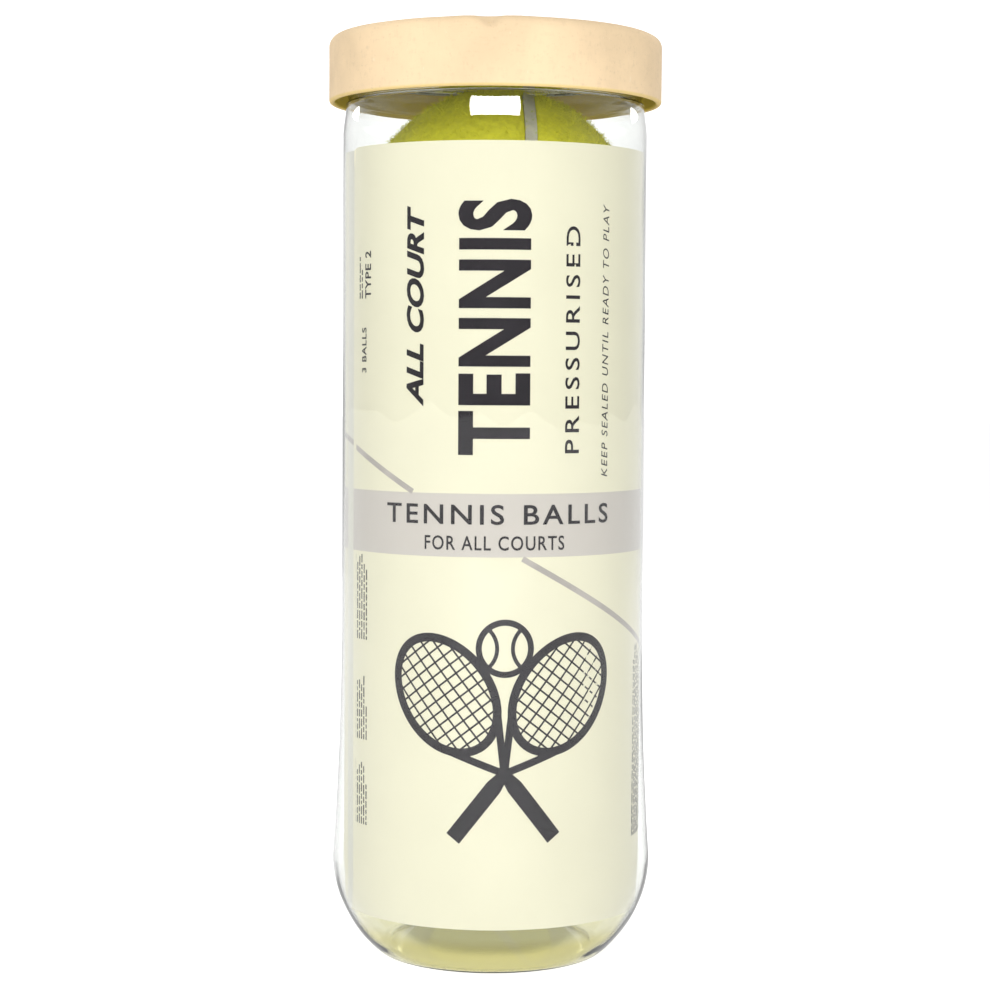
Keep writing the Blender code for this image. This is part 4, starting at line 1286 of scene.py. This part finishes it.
class DressEnd(bpy.types.Operator):
    """Makes the metal end: its ring and double seam, the tear panel and the rivet"""

    bl_idname = "ball_can.metal_end"
    bl_label = "Metal end"

    def execute(self, context):
        scene = context.scene
        metal = metal_finish("end_aluminium", scene.can_settings.metal_colour, 0.5)
        ring = sheet_metal(ring_line(), 200)
        add_piece("seamed_ring", [ring], metal, "can", ["end_ring"])
        panel = sheet_metal(panel_line(), 180)
        add_piece("ring_pull_panel", [panel], metal, "panel", ["tear_panel"])
        points, faces = grid(turned_points(rivet_line(), 64), closed_columns=True)
        points[:, 1] += RIVET_Y
        add_piece("rivet", [(points, faces)], metal, "panel", ["tab_rivet"])
        return {"FINISHED"}


class DressTab(bpy.types.Operator):
    """Makes the ring-pull tab with its curled rims"""

    bl_idname = "ball_can.pull_tab"
    bl_label = "Pull tab"

    def execute(self, context):
        scene = context.scene
        metal = metal_finish("tab_aluminium", shade(scene.can_settings.metal_colour, 1.03), 0.0)
        add_piece("ring_tab", pull_tab(), metal, "tab", ["pull_tab"])
        return {"FINISHED"}


class DressLid(bpy.types.Operator):
    """Makes the paper lid: its band with rolled edges and its disc"""

    bl_idname = "ball_can.lid"
    bl_label = "Paper lid"

    def execute(self, context):
        scene = context.scene
        kraft = kraft_finish(scene.lid_settings.kraft_colour)
        add_piece("paper_band", [lid_band()], kraft, "lid", ["lid_band"], 60.0)
        add_piece("paper_disc", [lid_disc()], kraft, "lid", ["lid_disc"])
        return {"FINISHED"}


class DressBalls(bpy.types.Operator):
    """Makes the three balls: two napped felt panels and a seam each"""

    bl_idname = "ball_can.balls"
    bl_label = "Tennis balls"

    def execute(self, context):
        scene = context.scene
        settings = scene.ball_settings
        felt = felt_finish(settings.felt_colour)
        cement = seam_finish(settings.seam_colour)
        for number, (ball, turn) in enumerate(zip(BALLS, ball_turns())):
            low, high = box_of(ball + "_core_upper", ball + "_core_lower")
            centre = (low + high) / 2
            for half in ("upper", "lower"):
                seed = 100 + 10 * number + (half == "lower")
                (points, faces), face = felt_panel(half == "upper", seed)
                wool, spikes = fibres_on(face, settings.fibre_count, settings.fibre_length, seed + 5)
                panel = (points @ turn.T + centre, faces)
                fuzz = (kept_in(wool @ turn.T + centre), spikes)
                name = ball + "_wool_" + half
                add_piece(name, [panel, fuzz], felt, ball, [ball + "_felt_" + half], 80.0)
            points, faces = seam_strip()
            strip = (points @ turn.T + centre, faces)
            add_piece(ball + "_cement", [strip], cement, ball, [ball + "_seam"])
        return {"FINISHED"}


class DressHidden(bpy.types.Operator):
    """Gives the rubber cores and the sealing compound, whose CAD forms are kept, their finishes"""

    bl_idname = "ball_can.hidden_parts"
    bl_label = "Cores and seal"

    def execute(self, context):
        rubber = core_finish()
        cores = [ball + "_core_" + half for ball in BALLS for half in ("upper", "lower")]
        for node, material in [(core, rubber) for core in cores] + [("sealing_compound", compound_finish())]:
            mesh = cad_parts[node].data
            mesh.materials.clear()
            mesh.materials.append(material)
        return {"FINISHED"}


class SetStage(bpy.types.Operator):
    """Sets the pale floor, the soft studio lights and the camera"""

    bl_idname = "ball_can.stage"
    bl_label = "Studio stage"

    def execute(self, context):
        scene = context.scene
        settings = scene.stage_settings
        self.add_floor(scene, settings)
        self.add_world(scene)
        key = self.add_light(scene, "key_light", KEY_PLACE, KEY_SIZE, settings.key_power)
        key.visible_glossy = key.visible_transmission = False
        card = self.add_light(scene, "gloss_card", CARD_PLACE, CARD_SIZE, settings.gloss_power)
        card.visible_diffuse = card.visible_transmission = False
        card.light_linking.receiver_collection = self.glossy_pieces()
        fill = self.add_light(scene, "front_fill", FILL_PLACE, FILL_SIZE, settings.fill_power)
        fill.visible_glossy = fill.visible_transmission = False
        for side in (-1, 1):
            place = (side * REAR_X, REAR_Y, REAR_Z)
            self.add_light(scene, "rear_light", place, REAR_SIZE, settings.side_power)
        self.add_camera(scene, settings)
        scene.view_settings.view_transform = "Standard"
        return {"FINISHED"}

    def glossy_pieces(self):
        """The clear can and the metal, which alone take the gloss card's light."""
        pieces = bpy.data.collections.new("glossy_pieces")
        for name in GLOSSY_PIECES:
            if name in bpy.data.objects:
                pieces.objects.link(bpy.data.objects[name])
        return pieces

    def add_floor(self, scene, settings):
        """A large square just under the can, which reflections don't show."""
        mesh = bpy.data.meshes.new("studio_floor")
        corners = [(x * FLOOR_HALF, y * FLOOR_HALF, 0) for x, y in ((-1, -1), (1, -1), (1, 1), (-1, 1))]
        mesh.from_pydata(corners, [], [(0, 1, 2, 3)])
        mesh.materials.append(floor_finish(settings.floor_colour))
        floor = bpy.data.objects.new("studio_floor", mesh)
        floor.location.z = -FLOOR_DROP
        floor.visible_glossy = False
        scene.collection.objects.link(floor)

    def add_world(self, scene):
        """A white surround that gives matt surfaces less light than the camera sees.

        Glossy surfaces see it darker: brightest behind the can, darkest before it, and dimmer up and down.
        """
        world = bpy.data.worlds.new("studio_white")
        scene.world = world
        sky = Finish("studio_white", world)
        _, y, z = sky.parts(sky.place)
        behind = y.step(0.30, 0.90)
        before = (0.0 - y).step(0.15, 0.75)
        level = z.math("ABSOLUTE", z).step(0.35, 0.85)
        seen = (GLOSS_LEVEL + behind * GLOSS_BEHIND - before * GLOSS_BEFORE) * (1.0 - level * GLOSS_FALL)
        glossy = sky.path("Glossy Depth").smallest(1.0)
        diffuse = sky.path("Diffuse Depth").smallest(1.0)
        strength = (SURROUND + glossy * (seen - SURROUND)) * (1.0 - diffuse * SURROUND_KEPT)
        light = sky.add("ShaderNodeBackground", inputs={"Color": (1.0, 1.0, 1.0, 1.0), "Strength": strength})
        sky.add("ShaderNodeOutputWorld", inputs={"Surface": light})

    def add_light(self, scene, name, place, size, power):
        """A rectangular area light, turned to the middle of the can."""
        lamp = bpy.data.lights.new(name, "AREA")
        lamp.shape = "RECTANGLE"
        lamp.size, lamp.size_y = size
        lamp.energy = power
        light = bpy.data.objects.new(name, lamp)
        light.location = place
        aim = Vector(LIGHT_AIM) - Vector(place)
        light.rotation_euler = aim.to_track_quat("-Z", "Y").to_euler()
        scene.collection.objects.link(light)
        return light

    def add_camera(self, scene, settings):
        data = bpy.data.cameras.new("camera")
        data.lens = settings.lens
        data.sensor_width = 36.0
        camera = bpy.data.objects.new("camera", data)
        look = Matrix.Rotation(math.pi / 2 - settings.camera_pitch, 4, "X")
        place = Matrix.Translation((0.0005, -settings.camera_distance, settings.camera_height))
        camera.matrix_world = place @ look @ Matrix.Rotation(settings.camera_roll, 4, "Z")
        scene.collection.objects.link(camera)
        scene.camera = camera


class CanPanel(bpy.types.Panel):
    """Lists the steps and the settings in the 3D view's sidebar"""

    bl_idname = "VIEW3D_PT_ball_can"
    bl_label = "Tennis Ball Can"
    bl_space_type = "VIEW_3D"
    bl_region_type = "UI"
    bl_category = "Ball Can"

    def draw(self, context):
        layout = self.layout
        for step in STEPS:
            layout.operator(step.bl_idname)
        for group in (name for name, _ in SETTINGS):
            settings = getattr(context.scene, group)
            for prop in settings.bl_rna.properties:
                if prop.identifier not in ("rna_type", "name"):
                    layout.prop(settings, prop.identifier)


STEPS = (
    DressClearCan, DressLabel, DressPrint, DressEnd, DressTab, DressLid, DressBalls, DressHidden, SetStage,
)
SETTINGS = (
    ("can_settings", CanSettings),
    ("ball_settings", BallSettings),
    ("lid_settings", LidSettings),
    ("stage_settings", StageSettings),
)


def register():
    for name, group in SETTINGS:
        bpy.utils.register_class(group)
        setattr(bpy.types.Scene, name, PointerProperty(type=group))
    for step in STEPS:
        bpy.utils.register_class(step)
    bpy.utils.register_class(CanPanel)


def unregister():
    bpy.utils.unregister_class(CanPanel)
    for step in reversed(STEPS):
        bpy.utils.unregister_class(step)
    for name, group in reversed(SETTINGS):
        delattr(bpy.types.Scene, name)
        bpy.utils.unregister_class(group)


def main():
    register()
    bpy.ops.ball_can.clear_can()
    bpy.ops.ball_can.label()
    bpy.ops.ball_can.print()
    bpy.ops.ball_can.metal_end()
    bpy.ops.ball_can.pull_tab()
    bpy.ops.ball_can.lid()
    bpy.ops.ball_can.balls()
    bpy.ops.ball_can.hidden_parts()
    bpy.ops.ball_can.stage()


if __name__ == "__main__":
    main()
